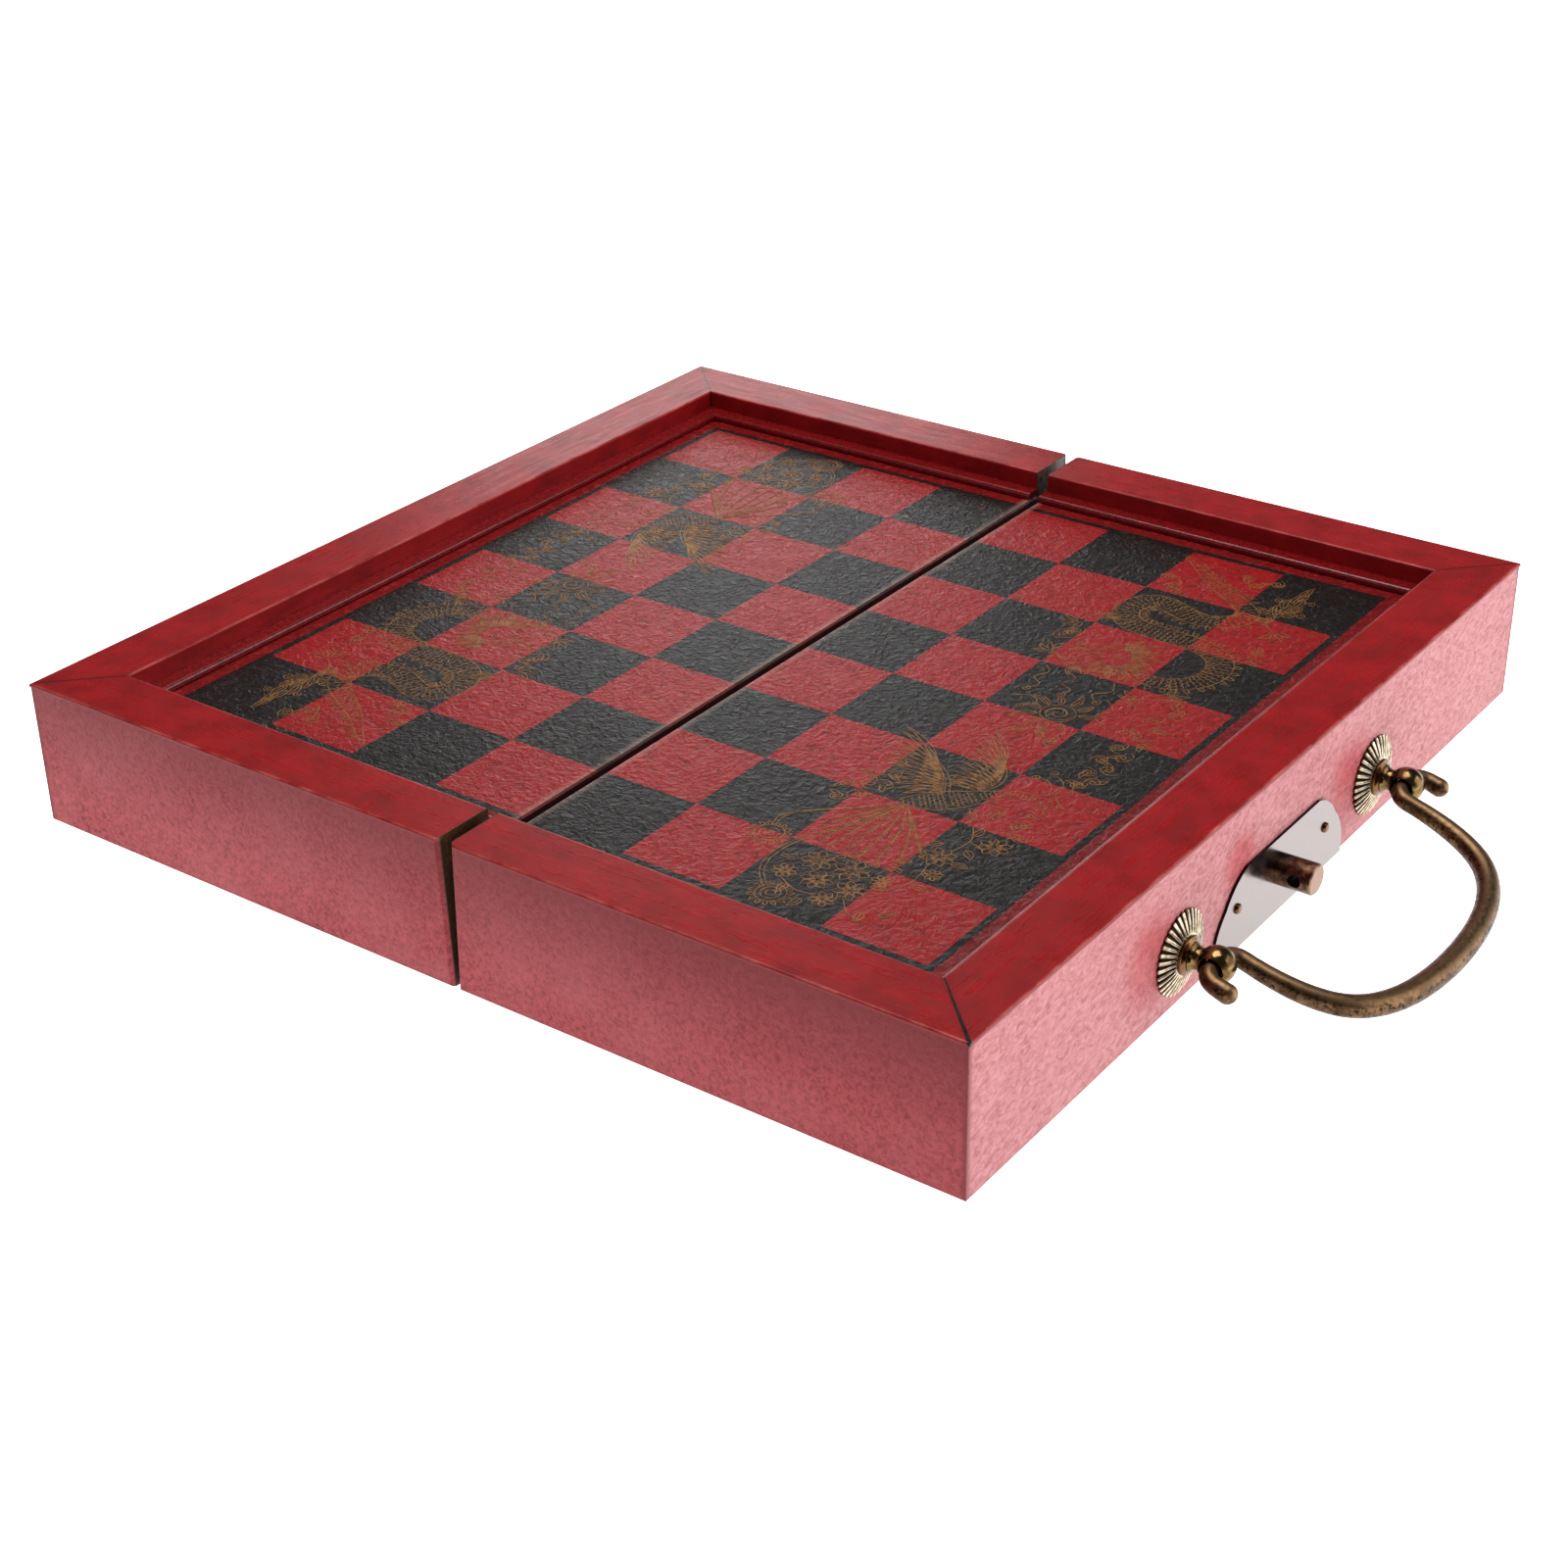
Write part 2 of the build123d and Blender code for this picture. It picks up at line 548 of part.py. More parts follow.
def latch_outline():
    """Half-plate with a flat crown, hollow shoulders and a round lobe at each side (Y, Z)."""
    half = LATCH_WIDTH / 2
    foot = (half, LATCH_SETBACK + LATCH_FOOT)
    lobe = (half - LATCH_LOBE_ROUND, LATCH_SHOULDER * 0.75)
    shoulder = (half - LATCH_LOBE_INSET, LATCH_SHOULDER + LATCH_FOOT)
    hollow = (half - LATCH_HOLLOW_INSET, LATCH_HEIGHT - LATCH_HOLLOW_DROP)
    crown = (LATCH_CROWN / 2, LATCH_HEIGHT)
    with BuildSketch() as outline:
        with BuildLine():
            Line((0, LATCH_SETBACK), (half, LATCH_SETBACK))
            Line((half, LATCH_SETBACK), foot)
            ThreePointArc(foot, lobe, shoulder)
            ThreePointArc(shoulder, hollow, crown)
            Line(crown, (0, LATCH_HEIGHT))
            mirror(about=Plane.YZ)
        make_face()
    return outline.sketch


def nail_places():
    return [(-NAIL_SPACING / 2, NAIL_HEIGHT), (NAIL_SPACING / 2, NAIL_HEIGHT)]


def build_nails(label, side):
    """Round-headed nails of one latch plate."""
    with BuildPart() as nails:
        with BuildSketch(Plane.YZ.offset(OUTER_X + LATCH_THICKNESS)):
            with Locations(*nail_places()):
                Circle(NAIL_HEAD_RADIUS)
        extrude(amount=NAIL_HEAD_HEIGHT)
        fillet(nails.edges().group_by(Axis.X)[-1], NAIL_HEAD_HEIGHT * 0.8)
        with BuildSketch(Plane.YZ.offset(OUTER_X + LATCH_THICKNESS)):
            with Locations(*nail_places()):
                Circle(NAIL_RADIUS)
        extrude(amount=-NAIL_LENGTH)
    write(nails, label, side)


def build_latch_plate():
    with BuildPart() as plate:
        with BuildSketch(Plane.YZ.offset(OUTER_X)):
            add(latch_outline())
            with Locations(*nail_places()):
                Circle(NAIL_RADIUS + SCREW_FIT, mode=Mode.SUBTRACT)
            with Locations((0, POST_HEIGHT)):
                Circle(POST_SHANK_RADIUS + SCREW_FIT, mode=Mode.SUBTRACT)
        extrude(amount=LATCH_THICKNESS)
    write(plate, "latch_plate")


def build_latch_post():
    """Post on the plate, cross-drilled so that a pin or small padlock can hold the hasp."""
    with BuildPart() as post:
        with BuildSketch(Plane.YZ.offset(OUTER_X + LATCH_THICKNESS)):
            with Locations((0, POST_HEIGHT)):
                Circle(POST_RADIUS)
        extrude(amount=POST_LENGTH - LATCH_THICKNESS)
        chamfer(post.edges().group_by(Axis.X)[-1], 0.4)
        with BuildSketch(Plane.YZ.offset(OUTER_X + LATCH_THICKNESS)):
            with Locations((0, POST_HEIGHT)):
                Circle(POST_SHANK_RADIUS)
        extrude(amount=-POST_SHANK_LENGTH)
        with Locations(Location((OUTER_X + POST_HOLE_REACH, 0, POST_HEIGHT), (90, 0, 0))):
            Cylinder(POST_HOLE_RADIUS, 4 * POST_RADIUS, mode=Mode.SUBTRACT)
    write(post, "latch_post")


def hasp_barrel_spans():
    """The plate's two knuckles, each side of the hasp's one in the middle (low Y, high Y)."""
    inner = HASP_KNUCKLE / 2 + KNUCKLE_PLAY
    return [(inner, HASP_WIDTH / 2), (-HASP_WIDTH / 2, -inner)]


def build_hasp_plate():
    """Half-plate of the other tray with the two outer knuckles of the hasp's hinge."""
    pivot = (OUTER_X + HASP_PIVOT_REACH, HASP_PIVOT_HEIGHT)
    with BuildPart() as plate:
        with BuildSketch(Plane.YZ.offset(OUTER_X)):
            add(latch_outline())
            with Locations(*nail_places()):
                Circle(NAIL_RADIUS + SCREW_FIT, mode=Mode.SUBTRACT)
        extrude(amount=LATCH_THICKNESS)
        for low, high in hasp_barrel_spans():
            middle = (low + high) / 2
            with Locations(Location((pivot[0], middle, pivot[1]), (90, 0, 0))):
                Cylinder(HASP_BARREL_RADIUS, high - low)
            with Locations((OUTER_X + HASP_PIVOT_REACH / 2, middle, pivot[1])):
                Box(HASP_PIVOT_REACH, high - low, HASP_BARREL_RADIUS)
        with Locations(Location((pivot[0], 0, pivot[1]), (90, 0, 0))):
            Cylinder(HINGE_PIN_RADIUS + PIN_FIT, HASP_WIDTH + 2, mode=Mode.SUBTRACT)
    write(plate, "hasp_plate", LEFT)


def build_hasp():
    """Slotted blade folded up against its plate, with a rolled lip to lift it by."""
    pivot = (OUTER_X + HASP_PIVOT_REACH, HASP_PIVOT_HEIGHT)
    blade_x = pivot[0] - HASP_SET_IN
    tip = HASP_LENGTH - HASP_LIP_RADIUS
    with BuildPart() as hasp:
        with BuildSketch(Plane.YZ.offset(blade_x - HASP_THICKNESS / 2)):
            with BuildLine():
                low, high = pivot[1] + HASP_BARREL_RADIUS + 0.4, pivot[1] + tip
                side, waist = HASP_WIDTH / 2, HASP_WIDTH / 2 - 2.5
                Polyline((-waist, high), (-side, high - 5), (-side, low), (side, low),
                         (side, high - 5), (waist, high), (-waist, high))
            make_face()
            with Locations((0, pivot[1] + (HASP_SLOT_START + HASP_SLOT_END) / 2)):
                SlotOverall(
                    HASP_SLOT_END - HASP_SLOT_START, HASP_SLOT_WIDTH, rotation=90,
                    mode=Mode.SUBTRACT,
                )
        extrude(amount=HASP_THICKNESS)
        with Locations((blade_x, 0, (pivot[1] + low + 0.5) / 2)):
            Box(HASP_THICKNESS, HASP_KNUCKLE, low + 0.5 - pivot[1])
        with Locations(Location((pivot[0], 0, pivot[1]), (90, 0, 0))):
            Cylinder(HASP_BARREL_RADIUS, HASP_KNUCKLE)
            Cylinder(HINGE_PIN_RADIUS + PIN_FIT, HASP_WIDTH, mode=Mode.SUBTRACT)
        with Locations(Location((blade_x, 0, high), (90, 0, 0))):
            Cylinder(HASP_LIP_RADIUS, 2 * waist)
    write(hasp, "hasp", LEFT)


def build_hasp_pin():
    pivot = (OUTER_X + HASP_PIVOT_REACH, HASP_PIVOT_HEIGHT)
    with BuildPart() as pin:
        with Locations(Location((pivot[0], 0, pivot[1]), (90, 0, 0))):
            Cylinder(HINGE_PIN_RADIUS, HASP_WIDTH + 0.2)
        for end in (-1, 1):
            with Locations(Location((pivot[0], end * (HASP_WIDTH / 2 + 0.3), pivot[1]), (90, 0, 0))):
                Cylinder(HASP_BARREL_RADIUS - 0.3, 0.4)
    write(pin, "hasp_pin", LEFT)


def end_bores(side):
    """Holes for the nails in both end walls, and for the handle's and post's shanks on the right."""
    nails = [(y, z, NAIL_RADIUS + SCREW_FIT, NAIL_LENGTH + 0.5) for y, z in nail_places()]
    if side == LEFT:
        return nails
    shank = SHANK_RADIUS + SCREW_FIT
    eyes = [(s * EYE_SPACING / 2, HANDLE_HEIGHT, shank, WALL + 1) for s in (-1, 1)]
    post = (0, POST_HEIGHT, POST_SHANK_RADIUS + SCREW_FIT, POST_SHANK_LENGTH)
    return nails + eyes + [post]


# ---- the two trays -------------------------------------------------------------------------------
for tray in (RIGHT, LEFT):
    frame_of_strips("wall", wall_section.sketch, tray, end_bores(tray), cut_corners=True)
    frame_of_strips("rim", rim_section.sketch, tray, cut_corners=True)
    frame_of_strips("bead", bead_section.sketch, tray)
    build_hinge_wall(tray)
    build_board(tray)
    build_dividers(tray)
    build_hinge_screws(tray)
    for hinge_y, hinge_place in zip(hinge_places(), ("front", "back")):
        build_hinge_leaf(tray, hinge_y, hinge_place)
for hinge_y, hinge_place in zip(hinge_places(), ("front", "back")):
    build_hinge_pin(hinge_y, hinge_place)

# ---- handle and latch -----------------------------------------------------------------------------
for eye_sign, eye_place in ((-1, "front"), (1, "back")):
    build_rosette(eye_sign, eye_place)
    build_eye_post(eye_sign, eye_place)
build_eye_nuts()
build_bail()
build_latch_plate()
build_latch_post()
build_nails("latch_nails", RIGHT)
build_hasp_plate()
build_hasp()
build_hasp_pin()
build_nails("hasp_nails", LEFT)
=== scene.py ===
from math import cos, radians, sin

import bpy
import numpy as np
from mathutils import Matrix


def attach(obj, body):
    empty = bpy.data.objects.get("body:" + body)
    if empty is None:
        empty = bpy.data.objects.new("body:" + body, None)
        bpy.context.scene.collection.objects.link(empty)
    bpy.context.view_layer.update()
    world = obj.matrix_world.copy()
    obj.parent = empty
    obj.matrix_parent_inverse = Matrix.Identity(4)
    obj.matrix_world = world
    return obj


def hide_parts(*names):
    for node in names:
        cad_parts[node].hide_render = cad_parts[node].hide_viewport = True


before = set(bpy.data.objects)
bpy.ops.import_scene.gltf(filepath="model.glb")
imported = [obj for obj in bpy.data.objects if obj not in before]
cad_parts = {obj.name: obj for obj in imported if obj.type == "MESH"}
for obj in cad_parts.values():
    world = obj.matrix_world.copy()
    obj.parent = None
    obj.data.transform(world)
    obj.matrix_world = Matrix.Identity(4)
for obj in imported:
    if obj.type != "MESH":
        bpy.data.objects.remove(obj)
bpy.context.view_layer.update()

# ---------------------------------------------------------------------------------------------
# The camera stands before the near corner of the case and a little above it, and looks down
# along the board. Its place and its lens were fitted to the photograph.
CAMERA_PLACE = (0.33208, -0.45925, 0.30502)
CAMERA_TURN, CAMERA_DIP, CAMERA_ROLL = 36.37, 28.93, -0.97  # degrees
LENS, SENSOR = 60.84, 36.0  # mm

camera = bpy.data.objects.new("camera", bpy.data.cameras.new("camera"))
camera.data.lens, camera.data.sensor_width = LENS, SENSOR
camera.data.clip_start, camera.data.clip_end = 0.02, 20
camera.matrix_world = (
    Matrix.Translation(CAMERA_PLACE) @ Matrix.Rotation(radians(CAMERA_TURN), 4, "Z")
    @ Matrix.Rotation(radians(90 - CAMERA_DIP), 4, "X")
    @ Matrix.Rotation(radians(CAMERA_ROLL), 4, "Z")
)
bpy.context.scene.collection.objects.link(camera)
bpy.context.scene.camera = camera

# ---------------------------------------------------------------------------------------------
# The walls of the two trays are fibreboard wrapped in a thin embossed leatherette. It is matt,
# and its fine wrinkles scatter the light from low down, so the sides look pink beside the rims;
# much of that pink is painted sheen in its colour, and the deeper red is painted shade.
WALL_RED, WALL_WRINKLE_SHADE, WALL_RUBBED, WALL_ARRIS = "b03f45", "7d2229", "bf6f72", "6a0e14"
WALL_UNDER_RIM_SHADE, WALL_END_SHEEN = "6e0f17", "be8a8c"  # painted shade high on the long sides, and painted sheen on the end walls
WALL_SHEEN, CUT_DARK, CUT_BROWN = "ffe0dc", "1c100b", "54341f"
FITTING_SHADOWS = ((-57.0, 17.0, 15.0), (34.0, 17.0, 15.0), (-20.0, 22.0, 9.0))  # mm, Y, Z and reach
WALL_WRINKLE, WALL_CLOUD = 1.15, 22.0  # mm, across a wrinkle of the embossing and a patch of wear
WALL_RELIEF = 0.00012  # m, depth of the embossing
DARK_EDGE_BAND = 1.5  # mm, how far from a corner the covering is darker
SHEEN_BELOW, SHADE_ABOVE = 10.0, 34.0  # mm, heights on the long sides
CUT_SPECKLES = 2.2  # to the mm, in the board's cut faces
CASE_HEIGHT, OUTER_X, OUTER_Y = 35.7, 126.4, 125.5  # mm
FOLD_FOOT, FOLD_SLOPE = 0.5, 1.1 / CASE_HEIGHT  # mm, of the bare faces cut beside the fold


def srgb(code):
    """Linear colour of an sRGB hex code: c / 12.92 where c is low, else ((c + 0.055) / 1.055)^2.4."""
    c = np.array([int(code[at:at + 2], 16) for at in (0, 2, 4)]) / 255
    return (*np.where(c < 0.04045, c / 12.92, ((c + 0.055) / 1.055) ** 2.4), 1.0)


def add(material, kind, sockets=None, **settings):
    """Add a node and return its outputs. Settings are its own properties, and sockets are its
    inputs by name or number, each with a value or with the output that feeds it."""
    made = material.node_tree.nodes.new("ShaderNode" + kind)
    for name, value in settings.items():
        setattr(made, name, value)
    for key, value in (sockets or {}).items():
        if isinstance(value, bpy.types.NodeSocket):
            material.node_tree.links.new(value, made.inputs[key])
        else:
            made.inputs[key].default_value = value
    return made.outputs


def blank(name):
    """A new material, and the place on the object in mm, from which its patterns start."""
    made = bpy.data.materials.new(name)
    made.use_nodes = True
    made.node_tree.nodes.clear()
    metres = add(made, "TexCoord")["Object"]
    return made, add(made, "VectorMath", {0: metres, "Scale": 1000.0}, operation="SCALE")[0]


def dress(material, *nodes):
    """Give CAD nodes their material."""
    for name in nodes:
        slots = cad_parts[name].data.materials
        slots.clear()
        slots.append(material)


def wall_leatherette(name):
    """Embossed leatherette, matt and red: painted shade in the wrinkles, darker at the foot and
    round the corners, painted shade high on the long sides over a painted sheen lower down, a
    pink painted sheen over the end walls, and painted shadows beside the fittings."""
    m, place = blank(name)
    xyz = add(m, "SeparateXYZ", {0: place})
    slanted = add(m, "Mapping", {"Vector": place, "Rotation": (0.5, 0.5, 0.6),
                                 "Scale": (1.0, 0.55, 1.0)})[0]
    wrinkle = add(m, "TexNoise", {"Vector": slanted, "Scale": 1 / WALL_WRINKLE, "Detail": 3.0,
                                  "Roughness": 0.6, "Distortion": 0.8})[0]
    cloud = add(m, "TexNoise", {"Vector": place, "Scale": 1 / WALL_CLOUD, "Detail": 2.0})[0]
    # painted shade: the low parts of the wrinkles are painted a deeper red
    depth = add(m, "MapRange", {0: wrinkle, 1: 0.32, 2: 0.6})[0]
    red = add(m, "Mix", {0: depth, 6: srgb(WALL_WRINKLE_SHADE), 7: srgb(WALL_RED)}, data_type="RGBA")[2]
    lighter = add(m, "MapRange", {0: cloud, 1: 0.35, 2: 0.75, 3: 0.0, 4: 0.28})[0]
    red = add(m, "Mix", {0: lighter, 6: red, 7: srgb(WALL_RUBBED)}, data_type="RGBA")[2]
    side_x = add(m, "Math", {0: xyz["X"]}, operation="ABSOLUTE")[0]
    side_y = add(m, "Math", {0: xyz["Y"]}, operation="ABSOLUTE")[0]
    out_x = add(m, "MapRange", {0: side_x, 1: OUTER_X - DARK_EDGE_BAND, 2: OUTER_X - 0.25})[0]
    out_y = add(m, "MapRange", {0: side_y, 1: OUTER_Y - DARK_EDGE_BAND, 2: OUTER_Y - 0.25})[0]
    corner = add(m, "Math", {0: out_x, 1: out_y}, operation="MULTIPLY")[0]
    foot = add(m, "MapRange", {0: xyz["Z"], 1: 1.0, 2: 0.1, 3: 0.0, 4: 0.7})[0]
    edge = add(m, "Math", {0: corner, 1: foot}, operation="MAXIMUM")[0]
    # painted shade and sheen: the long sides are painted deep red under the rim and paler lower down,
    # and a little deeper red to the right
    under_rim_shade = add(m, "MapRange", {0: xyz["Z"], 1: SHEEN_BELOW, 2: SHADE_ABOVE, 3: 0.0, 4: 0.72})[0]
    end = add(m, "Math", {0: side_x, 1: OUTER_X - 0.2}, operation="GREATER_THAN")[0]
    side_wall = add(m, "Math", {0: 1.0, 1: end}, operation="SUBTRACT")[0]
    shade_to_right = add(m, "MapRange", {0: xyz["X"], 1: -OUTER_X, 2: OUTER_X, 3: 0.0, 4: 0.25})[0]
    under_rim_shade = add(m, "Math", {0: under_rim_shade, 1: shade_to_right}, operation="ADD", use_clamp=True)[0]
    under_rim_shade = add(m, "Math", {0: under_rim_shade, 1: side_wall}, operation="MULTIPLY")[0]
    red = add(m, "Mix", {0: under_rim_shade, 6: red, 7: srgb(WALL_UNDER_RIM_SHADE)}, data_type="RGBA")[2]
    # painted sheen: the end walls, which face the light, are painted a paler pink
    end_sheen = add(m, "MapRange", {0: wrinkle, 1: 0.35, 2: 0.65, 3: 0.3, 4: 0.7})[0]
    end_sheen = add(m, "Math", {0: end_sheen, 1: end}, operation="MULTIPLY")[0]
    # painted shadow: beside each fitting a patch keeps the deeper red, free of the painted sheen
    for y, z, reach in FITTING_SHADOWS:
        away = add(m, "VectorMath", {0: place, 1: (OUTER_X, y, z)}, operation="DISTANCE")["Value"]
        kept = add(m, "MapRange", {0: away, 1: 0.3 * reach, 2: reach, 3: 0.12, 4: 1.0},
                   interpolation_type="SMOOTHSTEP")[0]
        end_sheen = add(m, "Math", {0: end_sheen, 1: kept}, operation="MULTIPLY")[0]
    red = add(m, "Mix", {0: end_sheen, 6: red, 7: srgb(WALL_END_SHEEN)}, data_type="RGBA")[2]
    # the covering is darker round the corners and at the foot
    darker_edge = add(m, "Math", {0: edge, 1: 1.3}, operation="MULTIPLY")[0]
    darker_edge = add(m, "Math", {0: darker_edge, 1: wrinkle}, operation="MULTIPLY")[0]
    red = add(m, "Mix", {0: darker_edge, 6: red, 7: srgb(WALL_ARRIS)}, data_type="RGBA")[2]
    # the bare faces that are cut beside the fold lean a little, and show speckled fibreboard
    lean = add(m, "Math", {0: xyz["Z"], 1: FOLD_SLOPE, 2: FOLD_FOOT + 0.15},
               operation="MULTIPLY_ADD")[0]
    cut = add(m, "Math", {0: side_x, 1: lean}, operation="LESS_THAN")[0]
    speckle = add(m, "TexNoise", {"Vector": place, "Scale": CUT_SPECKLES, "Detail": 2.0})[0]
    brown = add(m, "Mix", {0: speckle, 6: srgb(CUT_DARK), 7: srgb(CUT_BROWN)}, data_type="RGBA")[2]
    red = add(m, "Mix", {0: cut, 6: red, 7: brown}, data_type="RGBA")[2]
    dull = add(m, "MapRange", {0: wrinkle, 1: 0.3, 2: 0.7, 3: 0.62, 4: 0.48})[0]
    relief = add(m, "Bump", {"Strength": 1.0, "Distance": WALL_RELIEF, "Height": wrinkle})[0]
    add(m, "OutputMaterial", {0: add(m, "BsdfPrincipled", {
        "Base Color": red, "Roughness": dull, "Normal": relief, "IOR": 1.5,
        "Specular IOR Level": 0.25, "Sheen Weight": 0.18, "Sheen Roughness": 0.35,
        "Sheen Tint": srgb(WALL_SHEEN)})[0]})
    return m


wall_covering = wall_leatherette("matt_red_leatherette")
dress(wall_covering, *[f"wall_{part}_{side}" for part in ("back", "front", "end")
                       for side in ("left", "right")])

# ---------------------------------------------------------------------------------------------
# The rims are mitred strips in the same covering, but drawn tight and polished by hands: streaky
# along each strip, darker at the mitres, pale along the arrises with wear and painted highlight,
# painted shade on the turned-down lip, and with the board's bare brown edge where the case folds.
RIM_RED, RIM_DEEP, RIM_WORN_HIGHLIGHT, BARE_BOARD = "a5181c", "770d10", "c87a72", "6e4c31"
RIM_STREAK, RIM_STREAK_LENGTH = 1.5, 14.0  # mm
RIM_WRINKLE, RIM_PATCH, RIM_RELIEF = 1.4, 9.0, 0.00004  # mm, mm and m
RIM_INNER, RIM_OUTER = 109.9, 125.5  # mm from the middle, along Y
LONGER = 0.9  # mm, more from the middle along X than along Y
SEAM_DARK, SEAM_BROWN = "1c0f0a", "2a1a11"
SEAM = 0.2  # mm, half width of a mitre's dark line
OPEN_SEAM = 0.6  # mm, of the near mitre, which has opened towards the corner
OPEN_FROM, OPEN_TO = 218.0, 252.0  # mm, x - y where it begins to open and is widest
SEAM_SHADE = 1.6  # mm, how far the covering is darker beside a mitre


def rim_leatherette(name, across, stretch):
    """Streaked covering of the strips that are crossed along one axis; masks are worked out in
    mm from |x| - LONGER and |y|, which are equal along the mitres."""
    m, place = blank(name)
    xyz = add(m, "SeparateXYZ", {0: place})
    far_x = add(m, "Math", {0: xyz["X"]}, operation="ABSOLUTE")[0]
    far_x = add(m, "Math", {0: far_x, 1: LONGER}, operation="SUBTRACT")[0]
    far_y = add(m, "Math", {0: xyz["Y"]}, operation="ABSOLUTE")[0]
    streaks = add(m, "Mapping", {"Vector": place, "Scale": stretch})[0]
    streak = add(m, "TexNoise", {"Vector": streaks, "Scale": 1.0, "Detail": 4.0, "Roughness": 0.62,
                                 "Distortion": 0.35})[0]
    wrinkle = add(m, "TexNoise", {"Vector": place, "Scale": 1 / RIM_WRINKLE, "Detail": 3.0,
                                  "Distortion": 0.9})[0]
    patch = add(m, "TexNoise", {"Vector": place, "Scale": 1 / RIM_PATCH, "Detail": 4.0,
                                "Roughness": 0.6})[0]
    both = add(m, "Math", {0: streak, 1: 0.6, 2: patch}, operation="MULTIPLY_ADD")[0]
    tone = add(m, "MapRange", {0: both, 1: 0.46, 2: 0.94})[0]
    red = add(m, "Mix", {0: tone, 6: srgb(RIM_DEEP), 7: srgb(RIM_RED)}, data_type="RGBA")[2]
    # rubbed along the outer and inner arrises, in patches: wear, and a painted highlight along the
    # rounded edges
    off = {"X": far_x, "Y": far_y}[across]
    outer = add(m, "MapRange", {0: off, 1: RIM_OUTER - 0.5, 2: RIM_OUTER - 0.1})[0]
    inner = add(m, "MapRange", {0: off, 1: RIM_INNER + 0.7, 2: RIM_INNER + 0.25})[0]
    arris = add(m, "Math", {0: outer, 1: inner}, operation="MAXIMUM")[0]
    top = add(m, "MapRange", {0: xyz["Z"], 1: CASE_HEIGHT - 0.3, 2: CASE_HEIGHT - 0.1})[0]
    arris = add(m, "Math", {0: arris, 1: top}, operation="MULTIPLY")[0]
    rubbed_and_highlight = add(m, "MapRange", {0: patch, 1: 0.42, 2: 0.66, 3: 0.05, 4: 0.6})[0]
    rubbed_and_highlight = add(m, "Math", {0: arris, 1: rubbed_and_highlight}, operation="MULTIPLY")[0]
    # painted shade: the covering's turned-down lip over the wall is painted deep red, as the rim's own
    # shade
    lip = add(m, "Math", {0: off, 1: RIM_OUTER - 0.06}, operation="GREATER_THAN")[0]
    below = add(m, "MapRange", {0: xyz["Z"], 1: CASE_HEIGHT - 0.1, 2: CASE_HEIGHT - 0.35,
                                3: 0.0, 4: 0.85})[0]
    lip_shade = add(m, "Math", {0: lip, 1: below}, operation="MULTIPLY")[0]
    red = add(m, "Mix", {0: lip_shade, 6: red, 7: srgb(RIM_DEEP)}, data_type="RGBA")[2]
    red = add(m, "Mix", {0: rubbed_and_highlight, 6: red, 7: srgb(RIM_WORN_HIGHLIGHT)}, data_type="RGBA")[2]
    # the dark line of the mitre, wide and open at the near corner
    apart = add(m, "Math", {0: far_x, 1: far_y}, operation="SUBTRACT")[0]
    apart = add(m, "Math", {0: apart}, operation="ABSOLUTE")[0]
    nearness = add(m, "Math", {0: xyz["X"], 1: xyz["Y"]}, operation="SUBTRACT")[0]
    opening = add(m, "MapRange", {0: nearness, 1: OPEN_FROM, 2: OPEN_TO, 3: SEAM, 4: OPEN_SEAM})[0]
    seam = add(m, "Math", {0: apart, 1: opening}, operation="LESS_THAN")[0]
    shade = add(m, "MapRange", {0: apart, 1: SEAM_SHADE, 2: 0.0, 3: 0.0, 4: 0.45})[0]
    red = add(m, "Mix", {0: shade, 6: red, 7: srgb(RIM_DEEP)}, data_type="RGBA")[2]
    # the cut ends at the fold: bare fibreboard, speckled
    lean = add(m, "Math", {0: xyz["Z"], 1: FOLD_SLOPE, 2: FOLD_FOOT - LONGER + 0.22},
               operation="MULTIPLY_ADD")[0]
    cut = add(m, "Math", {0: far_x, 1: lean}, operation="LESS_THAN")[0]
    bare = add(m, "Math", {0: seam, 1: cut}, operation="MAXIMUM")[0]
    speckle = add(m, "TexNoise", {"Vector": place, "Scale": CUT_SPECKLES, "Detail": 2.0})[0]
    brown = add(m, "Mix", {0: speckle, 6: srgb(SEAM_BROWN), 7: srgb(BARE_BOARD)}, data_type="RGBA")[2]
    brown = add(m, "Mix", {0: seam, 6: brown, 7: srgb(SEAM_DARK)}, data_type="RGBA")[2]
    colour = add(m, "Mix", {0: bare, 6: red, 7: brown}, data_type="RGBA")[2]
    dull = add(m, "MapRange", {0: streak, 1: 0.3, 2: 0.7, 3: 0.36, 4: 0.24})[0]
    height = add(m, "Math", {0: streak, 1: wrinkle}, operation="ADD")[0]
    relief = add(m, "Bump", {"Strength": 1.0, "Distance": RIM_RELIEF, "Height": height})[0]
    add(m, "OutputMaterial", {0: add(m, "BsdfPrincipled", {
        "Base Color": colour, "Roughness": dull, "Normal": relief, "IOR": 1.5,
        "Specular IOR Level": 0.28})[0]})
    return m


along_x = (1 / RIM_STREAK_LENGTH, 1 / RIM_STREAK, 1 / RIM_STREAK)
along_y = (1 / RIM_STREAK, 1 / RIM_STREAK_LENGTH, 1 / RIM_STREAK)
dress(rim_leatherette("polished_red_leatherette_along_x", "Y", along_x),
      "rim_back_left", "rim_back_right", "rim_front_left", "rim_front_right")
dress(rim_leatherette("polished_red_leatherette_along_y", "X", along_y),
      "rim_end_left", "rim_end_right")

# ---------------------------------------------------------------------------------------------
# A half-round bead of varnished wood lies in the corner between the board and the rim's inner
# face. It is glossier than the covering beside it.
BEAD_RED, BEAD_DEEP = "8e1519", "5c0a0d"
BEAD_GRAIN, BEAD_RELIEF = 0.9, 0.00002  # to the mm, and m

